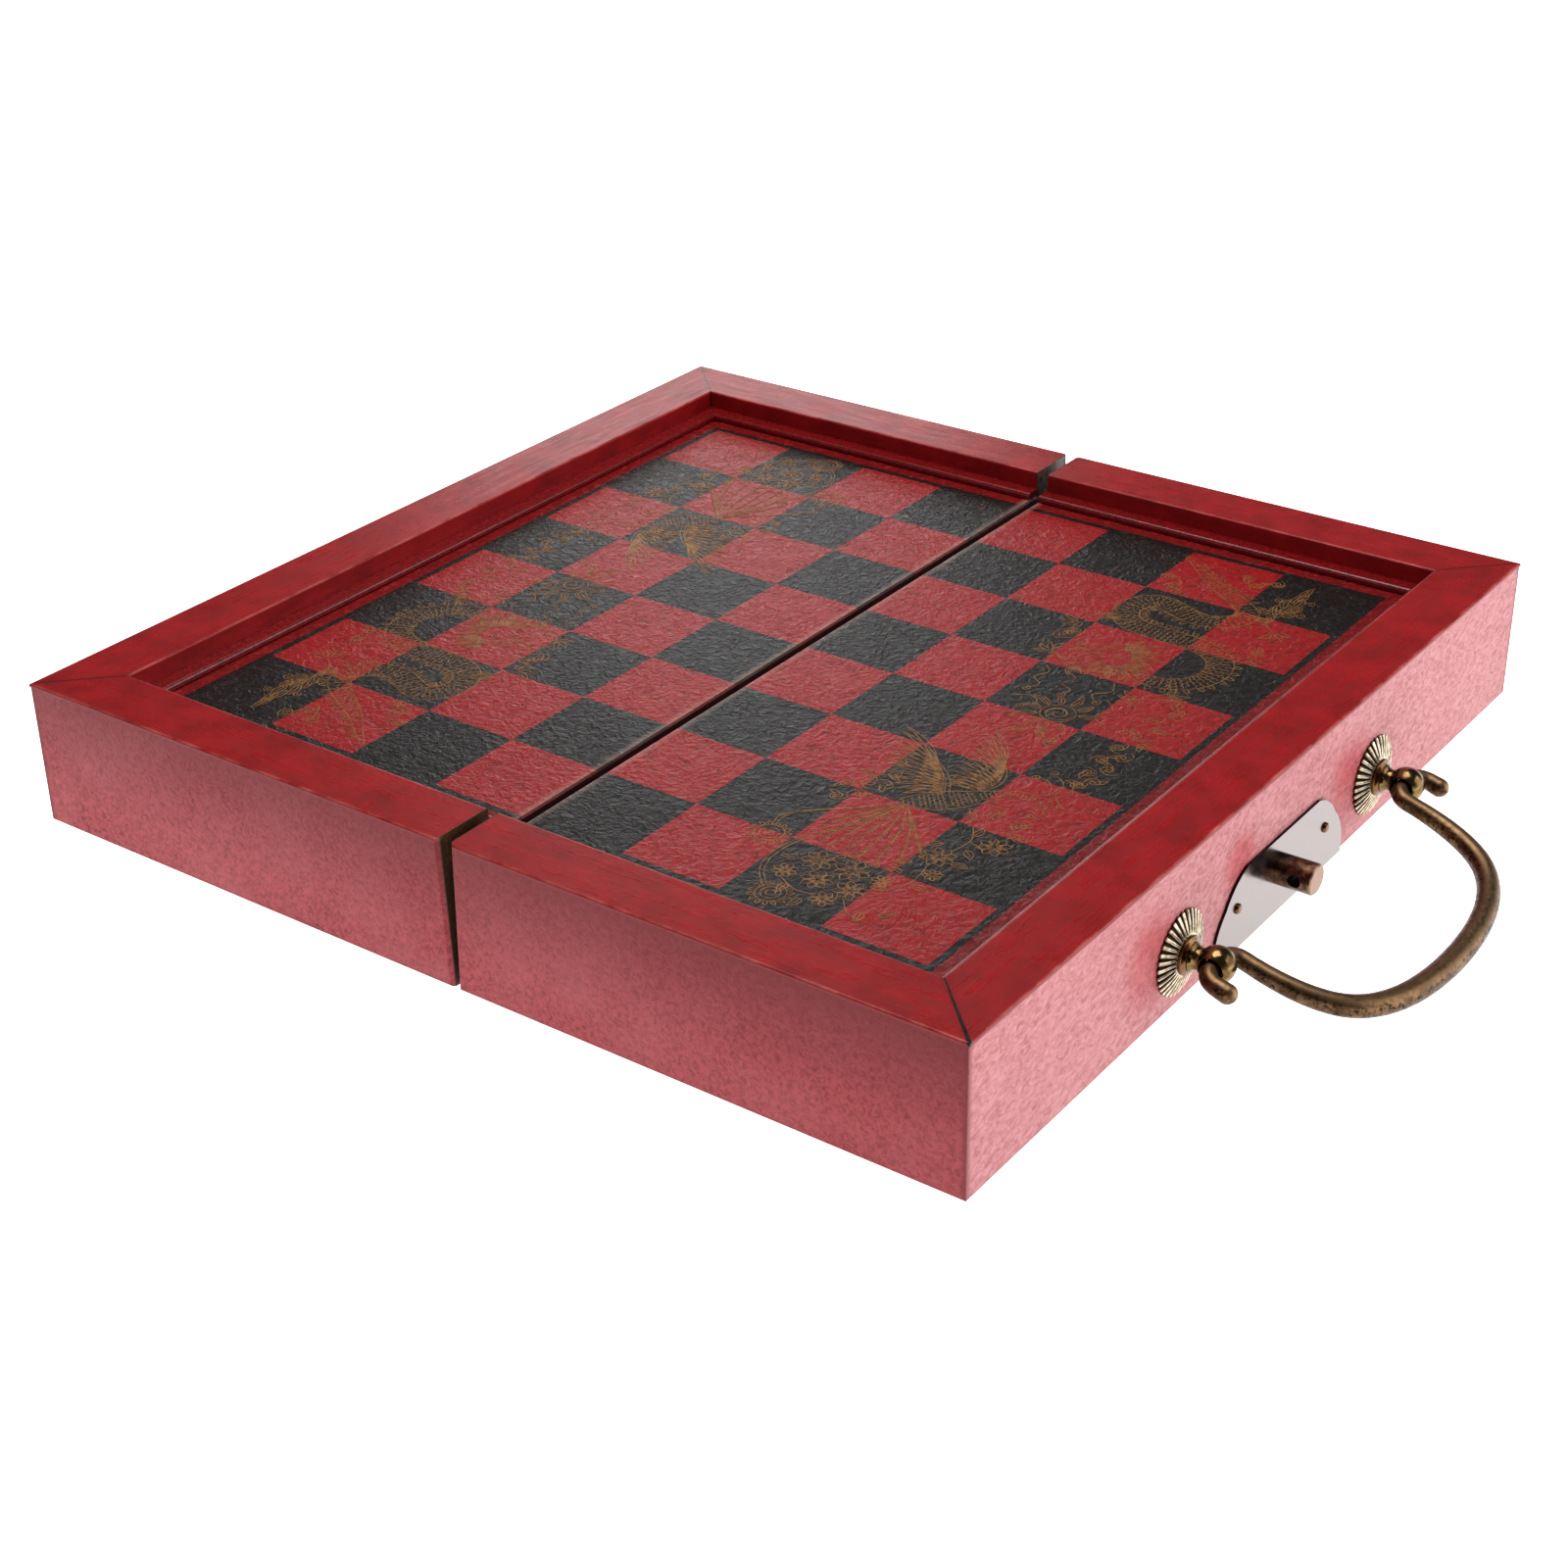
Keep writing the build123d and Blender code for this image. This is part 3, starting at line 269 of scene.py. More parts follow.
# painted beech under glossy varnish: its grain shows as faint ripples in the shine
bead_wood, place = blank("varnished_red_bead_wood")
m = bead_wood
grain = add(m, "TexNoise", {"Vector": place, "Scale": BEAD_GRAIN, "Detail": 4.0,
                            "Distortion": 0.4})[0]
tone = add(m, "MapRange", {0: grain, 1: 0.35, 2: 0.65})[0]
red = add(m, "Mix", {0: tone, 6: srgb(BEAD_DEEP), 7: srgb(BEAD_RED)}, data_type="RGBA")[2]
dull = add(m, "MapRange", {0: grain, 1: 0.3, 2: 0.7, 3: 0.3, 4: 0.18})[0]
relief = add(m, "Bump", {"Strength": 1.0, "Distance": BEAD_RELIEF, "Height": grain})[0]
add(m, "OutputMaterial", {0: add(m, "BsdfPrincipled", {
    "Base Color": red, "Roughness": dull, "Normal": relief, "IOR": 1.5})[0]})
dress(bead_wood, *[f"bead_{part}_{side}" for part in ("back", "front", "end")
                   for side in ("left", "right")])

# ---------------------------------------------------------------------------------------------
# The playing surface is a sheet of crinkled leatherette on each half, printed with 25 mm squares
# in red and black, a black line round them and a red margin, painted darker as shade beside the
# bead. Its creases carry painted highlights and its pits painted shade. The print's edges are a bit
# ragged.
SQUARE = 25.0  # mm
FOLD_MARGIN = 0.9  # mm, from the fold line to the first squares
FIELD = 100.0  # mm, from the middle to the squares' outer edge
BORDER = 1.8  # mm, width of the black line
RAGGED, RAGGED_EVERY = 0.35, 0.8  # mm, of the print's edges
SQUARE_RED, SQUARE_BLACK, MARGIN_RED_SHADED = "9c1719", "161412", "7a0c10"
CRINKLE, CREASE_BEND, CREASE_BEND_EVERY, PORE = 1.8, 5.0, 9.0, 1.5  # mm
CRINKLE_RELIEF = 0.00026  # m
RED_CREASE_HIGHLIGHT, BLACK_CREASE_HIGHLIGHT, PIT_SHADE = "b23533", "403d39", "2c0709"  # of the raised creases, rubbed and painted as highlight, and of the pits, painted as shade
FOLD_RUBBED, WORN_PATCH = "c8a79a", 14.0  # of the edge at the fold, and mm

# leatherette under a satin lacquer, which glints on the creases' sides
board_print, place = blank("printed_crinkled_leatherette")
m = board_print
# the squares, the line and the margin
edges = add(m, "TexNoise", {"Vector": place, "Scale": 1 / RAGGED_EVERY, "Detail": 1.0})["Color"]
shift = add(m, "VectorMath", {0: edges, 1: (-0.5, -0.5, -0.5)}, operation="ADD")[0]
shift = add(m, "VectorMath", {0: shift, "Scale": RAGGED}, operation="SCALE")[0]
xyz = add(m, "SeparateXYZ", {0: add(m, "VectorMath", {0: place, 1: shift}, operation="ADD")[0]})
side = add(m, "Math", {0: xyz["X"]}, operation="SIGN")[0]
along = add(m, "Math", {0: side, 1: -FOLD_MARGIN, 2: xyz["X"]}, operation="MULTIPLY_ADD")[0]
files = add(m, "Math", {0: along, 1: 1 / SQUARE, 2: 8.0}, operation="MULTIPLY_ADD")[0]
ranks = add(m, "Math", {0: xyz["Y"], 1: 1 / SQUARE, 2: 8.0}, operation="MULTIPLY_ADD")[0]
files = add(m, "Math", {0: files}, operation="FLOOR")[0]
ranks = add(m, "Math", {0: ranks}, operation="FLOOR")[0]
both = add(m, "Math", {0: files, 1: ranks}, operation="ADD")[0]
is_red = add(m, "Math", {0: both, 1: 2.0}, operation="MODULO")[0]
out_x = add(m, "Math", {0: along}, operation="ABSOLUTE")[0]
out_y = add(m, "Math", {0: xyz["Y"]}, operation="ABSOLUTE")[0]
out = add(m, "Math", {0: out_x, 1: out_y}, operation="MAXIMUM")[0]
in_line = add(m, "Math", {0: out, 1: FIELD}, operation="GREATER_THAN")[0]
in_margin = add(m, "Math", {0: out, 1: FIELD + BORDER}, operation="GREATER_THAN")[0]
# creases of the embossing: ridges bent by a slower noise, with pits between them
bent = add(m, "TexNoise", {"Vector": place, "Scale": 1 / CREASE_BEND_EVERY, "Detail": 2.0})["Color"]
bent = add(m, "VectorMath", {0: bent, "Scale": CREASE_BEND}, operation="SCALE")[0]
warped = add(m, "VectorMath", {0: place, 1: bent}, operation="ADD")[0]
crease = add(m, "TexNoise", {"Vector": warped, "Scale": 1 / CRINKLE, "Detail": 3.0, "Roughness": 0.55,
                             "Distortion": 1.1})[0]
pore = add(m, "TexVoronoi", {"Vector": warped, "Scale": 1 / PORE}, feature="SMOOTH_F1")[0]
height = add(m, "Math", {0: pore, 1: 0.35, 2: crease}, operation="MULTIPLY_ADD")[0]
worn = add(m, "TexNoise", {"Vector": place, "Scale": 1 / WORN_PATCH, "Detail": 4.0})[0]
# the red margin is painted darker, as painted shade beside the bead
red = add(m, "Mix", {0: in_margin, 6: srgb(SQUARE_RED), 7: srgb(MARGIN_RED_SHADED)}, data_type="RGBA")[2]
lined = add(m, "Math", {0: in_line, 1: in_margin}, operation="SUBTRACT")[0]
dark = add(m, "Math", {0: 1.0, 1: is_red}, operation="SUBTRACT")[0]
in_field = add(m, "Math", {0: 1.0, 1: in_line}, operation="SUBTRACT")[0]
dark = add(m, "Math", {0: dark, 1: in_field}, operation="MULTIPLY")[0]
black = add(m, "Math", {0: dark, 1: lined}, operation="MAXIMUM")[0]
colour = add(m, "Mix", {0: black, 6: red, 7: srgb(SQUARE_BLACK)}, data_type="RGBA")[2]
# painted highlight on the raised creases, partly rubbed wear, and painted shade in the pits
raised_highlight = add(m, "MapRange", {0: crease, 1: 0.54, 2: 0.68, 3: 0.0, 4: 0.45})[0]
crease_highlight = add(m, "Mix", {0: black, 6: srgb(RED_CREASE_HIGHLIGHT), 7: srgb(BLACK_CREASE_HIGHLIGHT)}, data_type="RGBA")[2]
colour = add(m, "Mix", {0: raised_highlight, 6: colour, 7: crease_highlight}, data_type="RGBA")[2]
pit_shade = add(m, "MapRange", {0: crease, 1: 0.46, 2: 0.34, 3: 0.0, 4: 0.5})[0]
colour = add(m, "Mix", {0: pit_shade, 6: colour, 7: srgb(PIT_SHADE)}, data_type="RGBA")[2]
# the sheet is rubbed pale where it turns down at the fold
beside = add(m, "MapRange", {0: out_x, 1: 2.4, 2: 0.5, 3: 0.0, 4: 0.6})[0]
fold_wear = add(m, "Math", {0: beside, 1: worn}, operation="MULTIPLY")[0]
colour = add(m, "Mix", {0: fold_wear, 6: colour, 7: srgb(FOLD_RUBBED)}, data_type="RGBA")[2]
dull = add(m, "MapRange", {0: crease, 1: 0.3, 2: 0.7, 3: 0.38, 4: 0.26})[0]
relief = add(m, "Bump", {"Strength": 1.0, "Distance": CRINKLE_RELIEF, "Height": height})[0]
add(m, "OutputMaterial", {0: add(m, "BsdfPrincipled", {
    "Base Color": colour, "Roughness": dull, "Normal": relief, "IOR": 1.5,
    "Specular IOR Level": 0.27})[0]})
dress(board_print, "playing_surface_left", "playing_surface_right")

# ---------------------------------------------------------------------------------------------
# Over the squares of each half lies a drawing in gold ink: a dragon with its pearl, a phoenix,
# peonies and clouds, as on many lacquered boxes. The left half has the same one, turned round.
INK_LINE, INK_RISE, INK_SPREAD, INK_SINK = 0.24, 0.03, 0.03, 0.02  # mm
SURFACE_Z = 29.2  # mm
BODY_PITCH, NECK_PITCH = 1.55, 1.35  # mm, from scale to scale of the dragon and of the phoenix
GOLD, GOLD_THIN, INK_WORN = "a0703a", "6e4526", 1.8  # and mm, across a worn spot
strokes = []  # (drawings, points, 2) in mm of the board, from its near left corner


def through(knots, slope_in, slope_out, count):
    """Points of the cubic curve through the knots, its parameter the run of the chords, its
    slopes at the ends given and its second derivative continuous."""
    knots = np.array(knots, float)
    run = np.concatenate([[0], np.cumsum(np.linalg.norm(np.diff(knots[:, :2], axis=0), axis=1))])
    step = np.diff(run)[:, None]
    rise = np.diff(knots, axis=0) / step
    size = len(knots)
    system, known = np.eye(size), np.zeros(knots.shape)
    known[0] = rise[0] if slope_in is None else slope_in
    known[-1] = rise[-1] if slope_out is None else slope_out
    inner = np.arange(1, size - 1)
    system[inner, inner - 1], system[inner, inner + 1] = step[1:, 0], step[:-1, 0]
    system[inner, inner] = 2 * (step[:-1, 0] + step[1:, 0])
    known[1:-1] = 3 * (step[1:] * rise[:-1] + step[:-1] * rise[1:])
    slope = np.linalg.solve(system, known)
    at = np.linspace(0, run[-1], count)
    k = np.clip(np.searchsorted(run, at, side="right") - 1, 0, size - 2)
    h, u = step[k], ((at - run[k]) / step[k, 0])[:, None]
    return ((2 * u**3 - 3 * u**2 + 1) * knots[k] + (u**3 - 2 * u**2 + u) * h * slope[k]
            + (3 * u**2 - 2 * u**3) * knots[k + 1] + (u**3 - u**2) * h * slope[k + 1])


def aim(angle):
    """Unit vectors at some angles in degrees."""
    return np.stack([np.cos(np.radians(angle)), np.sin(np.radians(angle))], 1)


def ink(*knots, count=16):
    """One smooth stroke through some points."""
    strokes.append(through(knots, None, None, count)[None])


def leaves(base, angle, length, width, bend=0.0, vein=False, count=9):
    """Leaves, feathers, flames or petals: each a middle line that leaves its base at an angle in
    degrees and turns by bend in all, with edges width * sin(pi t^0.7) to both sides of it."""
    base = np.atleast_2d(base)
    each = [np.broadcast_to(np.asarray(v, float), len(base)) for v in (angle, length, width, bend)]
    heading, length, width, bend = np.radians(each[0]), each[1], each[2], np.radians(each[3])
    t = np.linspace(0, 1, count)
    way = heading[:, None] + bend[:, None] * t
    steps = np.stack([np.cos(way), np.sin(way)], -1) * (length / (count - 1))[:, None, None]
    middle = base[:, None] + np.cumsum(steps, 1) - steps[:, :1]
    across = np.stack([-np.sin(way), np.cos(way)], -1)
    half = 0.5 * width[:, None] * np.sin(np.pi * t**0.7)
    edges = [middle + side * half[..., None] * across for side in (-1, 1)]
    strokes.extend(edges + ([middle[:, : count - 2]] if vein else []))


def curls(centre, radius, start, turns, count=18):
    """Spirals: the radius grows from a tenth as 0.1 + 0.9 t, while the angle turns on."""
    centre = np.atleast_2d(centre)
    radius, start, turns = (np.broadcast_to(np.asarray(v, float), len(centre))[:, None]
                            for v in (radius, start, turns))
    t = np.linspace(0, 1, count)[None]
    way = np.radians(start) + 2 * np.pi * turns * (t - 1)
    reach = radius * (0.1 + 0.9 * t)
    strokes.append(centre[:, None] + np.stack([reach * np.cos(way), reach * np.sin(way)], -1))


def scaled_body(knots, pitch, count):
    """A body along a middle line of (x, y, half width): two edges, and between them rows of
    scales, arcs of 160 degrees open to the front, each row shifted by half a scale."""
    line = through(knots, None, None, count)
    middle, half = line[:, :2], np.maximum(line[:, 2], 0.15)
    along = np.gradient(middle, axis=0)
    along /= np.linalg.norm(along, axis=1)[:, None]
    across = np.stack([-along[:, 1], along[:, 0]], 1)
    for side in (-1, 1):
        strokes.append((middle + side * half[:, None] * across)[None])
    run = np.concatenate([[0], np.cumsum(np.linalg.norm(np.diff(middle, axis=0), axis=1))])
    at = np.arange(pitch, run[-1], pitch * 0.82)
    row = np.searchsorted(run, at)
    lane = np.arange(-6, 7)[None, :] * pitch + (np.arange(len(row)) % 2)[:, None] * pitch / 2
    fits = np.abs(lane) < half[row][:, None] - pitch * 0.35
    i, j = np.nonzero(fits)
    turn = np.radians(np.linspace(-80, 80, 6))[None, :, None]
    r = row[i]
    arc = np.sin(turn) * across[r][:, None] - np.cos(turn) * along[r][:, None]
    strokes.append(middle[r][:, None] + lane[i, j][:, None, None] * across[r][:, None]
                   + 0.5 * pitch * arc)
    return middle, half, along, across, run


# the dragon: from the tip of its tail, in two bends down to the neck
DRAGON = [(149.5, 197.0, 0.3), (156, 191.5, 0.9), (164, 185, 1.7), (173, 179.5, 2.4),
          (178.6, 172.5, 2.9), (173.5, 166.3, 3.2), (164, 167.2, 3.3), (156, 169.0, 3.2),
          (152.6, 162.0, 3.2), (156.5, 155.2, 3.3), (165, 153.3, 3.4), (174.5, 152.8, 3.4),
          (183.5, 149.2, 3.3), (186.8, 140.5, 3.1), (182.5, 132.2, 2.8), (174.5, 130.2, 2.4),
          (168.2, 134.0, 2.1)]
middle, half, along, across, run = scaled_body(DRAGON, BODY_PITCH, 220)
spine = np.searchsorted(run, np.arange(6, run[-1] - 4, 2.3))
back_side = middle[spine] + half[spine][:, None] * across[spine]
spine_way = np.degrees(np.arctan2(across[spine][:, 1], across[spine][:, 0]))
leaves(back_side, spine_way + 25, 2.2, 1.3, -40, count=6)
belly = np.searchsorted(run, np.arange(12, run[-1] - 4, 1.15))
foot = middle[belly] - half[belly][:, None] * across[belly]
rib = middle[belly] - 0.62 * half[belly][:, None] * across[belly] + 0.3 * along[belly]
strokes.append(np.stack([foot, (foot + rib) / 2, rib], 1))
# its head faces left: jaws, nose, brow, eye, horns, and the mane behind
head = np.array([160.5, 136.0])
for knots in (
    [(6.5, 3.5), (3.0, 4.6), (0, 3.9), (-2.5, 4.1), (-4.6, 2.9), (-7.0, 3.5), (-8.4, 2.2),
     (-7.8, 0.6)],
    [(-7.8, 0.6), (-5.4, 0.2), (-3.2, 0.9), (-1.0, -0.1), (0.8, -1.2)],
    [(0.8, -1.2), (-1.6, -2.3), (-4.0, -2.2), (-6.2, -3.4), (-6.6, -4.8), (-4.6, -5.2), (-1.0, -4.2),
     (2.5, -4.6)],
    [(-1.2, 3.9), (0.5, 6.6), (3.5, 8.6), (7.5, 9.6)],
    [(0.2, 3.9), (1.8, 5.9), (4.4, 7.5), (7.5, 9.6)],
    [(1.4, 4.1), (4.0, 5.6), (7.4, 6.2), (10.5, 7.4)], [(-3.2, 2.6), (-1.8, 3.2), (-0.4, 2.4)],
    [(-8.2, 1.6), (-11.0, 3.6), (-13.2, 2.4), (-14.6, 4.6), (-13.6, 6.6)],
    [(-7.6, 0.6), (-10.0, -1.2), (-11.4, -4.6), (-9.6, -7.4), (-10.8, -10.0)],
    [(-6.2, -5.0), (-6.0, -7.6), (-7.4, -9.6)], [(-4.4, -5.2), (-3.6, -8.0), (-4.8, -10.4)],
):
    ink(*[head + knot for knot in knots])
curls(head + [(-1.7, 2.2), (-6.9, 2.3), (-13.0, 5.6), (3.0, 1.2)], [0.75, 0.8, 1.1, 1.5],
      [0, 90, 200, 40], 1.5)
teeth = head + np.stack([np.linspace(-7.0, -1.6, 7), np.full(7, 0.2)], 1)
leaves(teeth, -90, [1.6, 0.9, 0.8, 0.9, 0.8, 0.9, 1.3], 0.6, 0, count=5)
mane_way = np.linspace(100, -95, 17)
mane_foot = head + ((4.2, 0) + aim(mane_way) * (2.4, 4.3))
leaves(mane_foot, mane_way + 12, np.tile([8.0, 5.6], 9)[:17], 1.9, np.tile([-50, 35], 9)[:17],
       vein=True)
leaves(head + [(2.6, -3.9), (1.0, -4.6), (4.0, -4.6)], [-118, -104, -78], [7.5, 6.5, 7.0], 1.6,
       [40, -35, 30], vein=True)
# its legs, each with a flame at the elbow and four claws
for root, elbow, paw, way in (
    ((166, 129.5), (157.5, 126.6), (149.8, 131.0), 165),
    ((181.5, 131.5), (183.5, 125.5), (178.6, 120.8), -125),
    ((156.0, 157.0), (149.5, 154.2), (146.8, 149.2), -120),
    ((177.5, 174.0), (183.5, 172.5), (187.8, 168.6), -35),
):
    root, elbow, paw = (np.array(p, float) for p in (root, elbow, paw))
    for shift in (-1.1, 1.1):
        ink(root + (shift, -shift * 0.6), elbow + (shift * 0.8, -shift),
            paw + (shift * 0.7, -shift * 0.5), count=12)
    fan = way + np.array([-52.0, -18.0, 16.0, 50.0])
    leaves(paw + aim(fan), fan, 4.4, 1.25, -45, count=8)
    leaves([elbow, elbow + (0.8, 0.4), elbow - (0.6, 0.2)], way + np.array([100, 130, 160]),
           [5.0, 4.2, 3.4], 1.5, 40, vein=True)
# flames by its tail
tuft = np.array([(184.6, 176.5), (184.2, 179.0), (185.2, 180.5), (183.8, 182.5), (185.4, 184.5),
                 (184.4, 186.0), (184.0, 177.5), (185.6, 178.0), (184.8, 188.0), (183.4, 180.0),
                 (186.0, 182.0), (184.6, 190.0)])
leaves(tuft, [118, 60, 40, 135, 62, 110, 158, 22, 72, 140, 35, 95],
       [6, 6.5, 5.5, 6, 6, 6.5, 5, 4.5, 6.5, 4.2, 4.0, 7.0], 2.0,
       [-60, 55, 70, -70, 50, -50, -80, 90, 40, -60, 70, -15], vein=True)
curls([(180.6, 178.6), (189.0, 180.6), (180.9, 186.2), (188.4, 188.0), (182.2, 174.0)],
      [1.6, 1.5, 1.4, 1.3, 1.6], [30, 150, -20, 200, 80], 1.6)
# the flaming pearl between the two beasts
pearl = np.array([167.0, 104.0])
curls([pearl, pearl], [3.6, 3.0], [20, 200], [1.9, 1.4], count=30)
ring = aim(np.linspace(0, 360, 30))
strokes.append((pearl + 4.1 * ring)[None])
flare = np.arange(20, 340, 32.0)
leaves(pearl + 4.6 * aim(flare), flare - 25, np.tile([6.5, 4.5], 5), 1.7, 60, vein=True)
for knots in (
    [(152, 124), (154.5, 120.5), (152.8, 117), (155.8, 114.5), (154.2, 111)],
    [(158, 123.6), (161.5, 121), (160, 117.4), (163.4, 115.6), (162.6, 112.5)],
    [(170, 124.4), (171.5, 119.6), (168.6, 116.6), (171.2, 113.4)],
    [(172.8, 116), (176.5, 111.6), (174.6, 108), (178.4, 104.8), (183.4, 104.4)],
    [(153, 105.5), (157.4, 108.4), (160, 106.2), (157.6, 102.6)],
):
    ink(*knots)
    curls([knots[-1]], 1.3, 100, 1.4)

# the phoenix: a scaled body and neck, and a head that looks to the right
PHOENIX = [(160.2, 49.6, 1.2), (163.2, 52.2, 3.0), (167.0, 55.4, 3.9), (171.2, 59.4, 3.2),
           (175.2, 63.6, 2.0), (179.6, 66.8, 1.5), (183.8, 67.6, 1.4)]
scaled_body(PHOENIX, NECK_PITCH, 60)
for knots in (
    [(183.4, 69.0), (185.0, 70.2), (187.2, 69.6), (188.4, 68.2), (191.4, 66.6), (188.6, 66.8),
     (186.8, 65.8), (184.4, 66.1)],
    [(184.8, 70.2), (183.4, 73.6), (180.2, 75.8), (178.2, 74.6)],
    [(185.8, 70.4), (185.6, 74.4), (183.2, 77.8), (180.6, 78.6)],
    [(186.6, 70.0), (188.0, 73.4), (187.0, 77.2)], [(186.0, 65.8), (185.0, 63.4), (186.6, 61.4)],
    [(187.2, 65.8), (187.6, 63.2), (189.4, 62.0)],
):
    ink(*knots)
curls([(186.4, 68.2), (178.6, 75.6), (181.0, 79.4), (187.2, 78.2), (186.4, 60.6)],
      [0.55, 1.1, 1.1, 1.0, 1.0], [0, 250, 240, -60, 90], 1.4)
# its wings: a leading edge, long feathers fanned from it, and two rows of short ones over them
for edge, first, last, long in (
    ([(166.0, 58.4), (163.4, 63.0), (160.2, 66.4), (156.6, 69.2)], 204, 124, 19.0),
    ([(171.6, 63.4), (172.8, 68.0), (171.8, 72.4), (169.4, 76.0)], 178, 106, 17.0),
):
    arm = through(edge, None, None, 60)
    strokes.append(arm[None, ::3])
    strokes.append((arm + (0.9, 0.5))[None, ::3])
    share = np.linspace(0.06, 0.98, 13)
    foot = arm[(share * 59).astype(int)]
    fan = first + (last - first) * share
    leaves(foot, fan, long * (0.42 + 0.58 * share**0.8), 1.5, 34, count=14)
    for reach, size in ((0.5, 2.8), (1.6, 5.6)):
        share = np.linspace(0.04, 0.9, 14)
        fan = first + (last - first) * share
        foot = arm[(share * 59).astype(int)] + reach * aim(fan)
        leaves(foot, fan, size, 1.3, 10, count=6)
# its tail: a fan of plumes with barbs, and two long ones that end in an eye
for far, sway in (((152.4, 33.0), -3.4), ((155.4, 28.6), -2.6), ((158.8, 26.0), -1.6),
                  ((162.4, 24.8), -0.4), ((166.2, 24.6), 1.0), ((170.2, 25.8), 2.4),
                  ((174.0, 29.0), 3.6), ((176.4, 34.0), 4.4)):
    far = np.array(far)
    bent = 162.0 + 0.42 * (far[0] - 162.0) + sway * 0.5
    plume = through([(162.0, 50.4), (bent, 41.0), far], None, None, 24)
    strokes.append(plume[None, ::2])
    way = np.degrees(np.arctan2(*(plume[5:-1] - plume[4:-2]).T[::-1]))
    for side in (-1, 1):
        tip = plume[5:-1] + 1.25 * aim(way + side * 32)
        strokes.append(np.stack([plume[5:-1], tip], 1))
    curls([far + (0.4, -0.6)], 1.1, 80, 1.3)
for line in ([(160.6, 49.0), (153.0, 42.0), (146.6, 36.6), (142.6, 30.0), (143.6, 26.4)],
             [(161.0, 48.6), (156.6, 36.0), (150.6, 22.0), (152.6, 10.0), (157.0, 5.6)]):
    for shift in (0.0, 0.9):
        ink(*[np.array(knot) + (shift, shift * 0.4) for knot in line], count=26)
for eye_at in ((145.0, 23.8), (159.4, 4.6)):
    for reach in (1.0, 2.1, 3.2):
        strokes.append((np.array(eye_at) + reach * (ring * (1.0, 1.05)))[None])
    spoke = np.arange(0, 360, 24.0)
    leaves(np.array(eye_at) + 3.3 * aim(spoke), spoke, 1.7, 1.0, 30, count=5)

# peonies in rings of petals, with leaves, buds and a stem
for x, y, size in ((160.2, 20.4, 3.5), (168.2, 20.8, 3.8), (164.2, 14.0, 3.2), (172.2, 14.2, 3.3),
                   (156.6, 13.4, 2.5), (169.4, 8.4, 2.6), (175.4, 20.6, 2.2), (179.6, 35.4, 3.4),
                   (186.8, 45.2, 3.3), (182.4, 28.6, 2.0)):
    for share, petals, turn in ((1.0, 8, 0), (0.5, 5, 20)):
        spread = np.arange(petals) * 360 / petals + turn + x * 31
        leaves(np.array([x, y]) + 0.3 * share * size * aim(spread), spread, size * share * 0.85,
               size * share * 0.62, 12, count=7)
for knots in ([(178.0, 51.0), (181.4, 44.6), (180.6, 39.0)],
              [(181.2, 44.0), (184.6, 43.2), (186.0, 42.0)],
              [(179.4, 32.0), (180.4, 24.0), (177.4, 17.0)],
              [(172.6, 11.0), (177.0, 6.6), (182.6, 6.0)],
              [(157.0, 11.0), (163.0, 8.4), (167.4, 9.0)]):
    ink(*knots)
sprig = np.array([(180.6, 46.6), (182.6, 40.6), (177.4, 40.4), (183.2, 34.2), (176.2, 30.6),
                  (181.4, 22.6), (176.8, 25.4), (178.6, 8.6), (182.0, 9.6), (164.4, 25.0),
                  (156.2, 18.6), (174.6, 17.8), (160.2, 9.4), (165.6, 6.2)])
leaves(sprig, [60, -20, 200, 30, 190, 20, 150, -60, 30, 80, 170, 30, 250, 280], 4.0, 1.9,
       [40, -40] * 7, vein=True)
# clouds, whose curls are paired, and sprigs of cloud up the right side
cloud = np.array([(148.0, 57.6), (152.4, 59.4), (150.2, 53.4), (146.2, 50.6), (151.0, 48.2),
                  (147.6, 45.0), (153.6, 54.2), (186.4, 97.0), (189.4, 93.6), (185.8, 90.4),
                  (189.6, 87.2), (186.6, 83.8), (189.8, 80.6), (187.4, 77.8), (187.0, 122.0),
                  (189.8, 117.6), (186.6, 113.2), (189.6, 109.0), (187.0, 104.4), (190.4, 101.0),
                  (146.4, 140.6), (148.8, 143.6), (190.6, 151.6), (190.0, 156.8), (155.0, 180.0),
                  (151.6, 183.4), (157.8, 176.6), (168.8, 193.0), (172.6, 190.0), (176.4, 194.0),
                  (150.4, 64.8), (176.0, 53.6), (179.6, 57.4), (186.6, 55.4), (189.2, 51.2),
                  (168.0, 94.4), (172.6, 91.6), (163.4, 93.0)])
start = np.arange(len(cloud)) * 137.5
curls(cloud, 2.0, start, 1.5)
curls(cloud + 0.35 * np.stack([np.cos(start), np.sin(start)], 1), 2.7, start + 60, 0.55, count=9)
leaves(cloud, start + 150, 3.4, 1.3, 70, count=7)


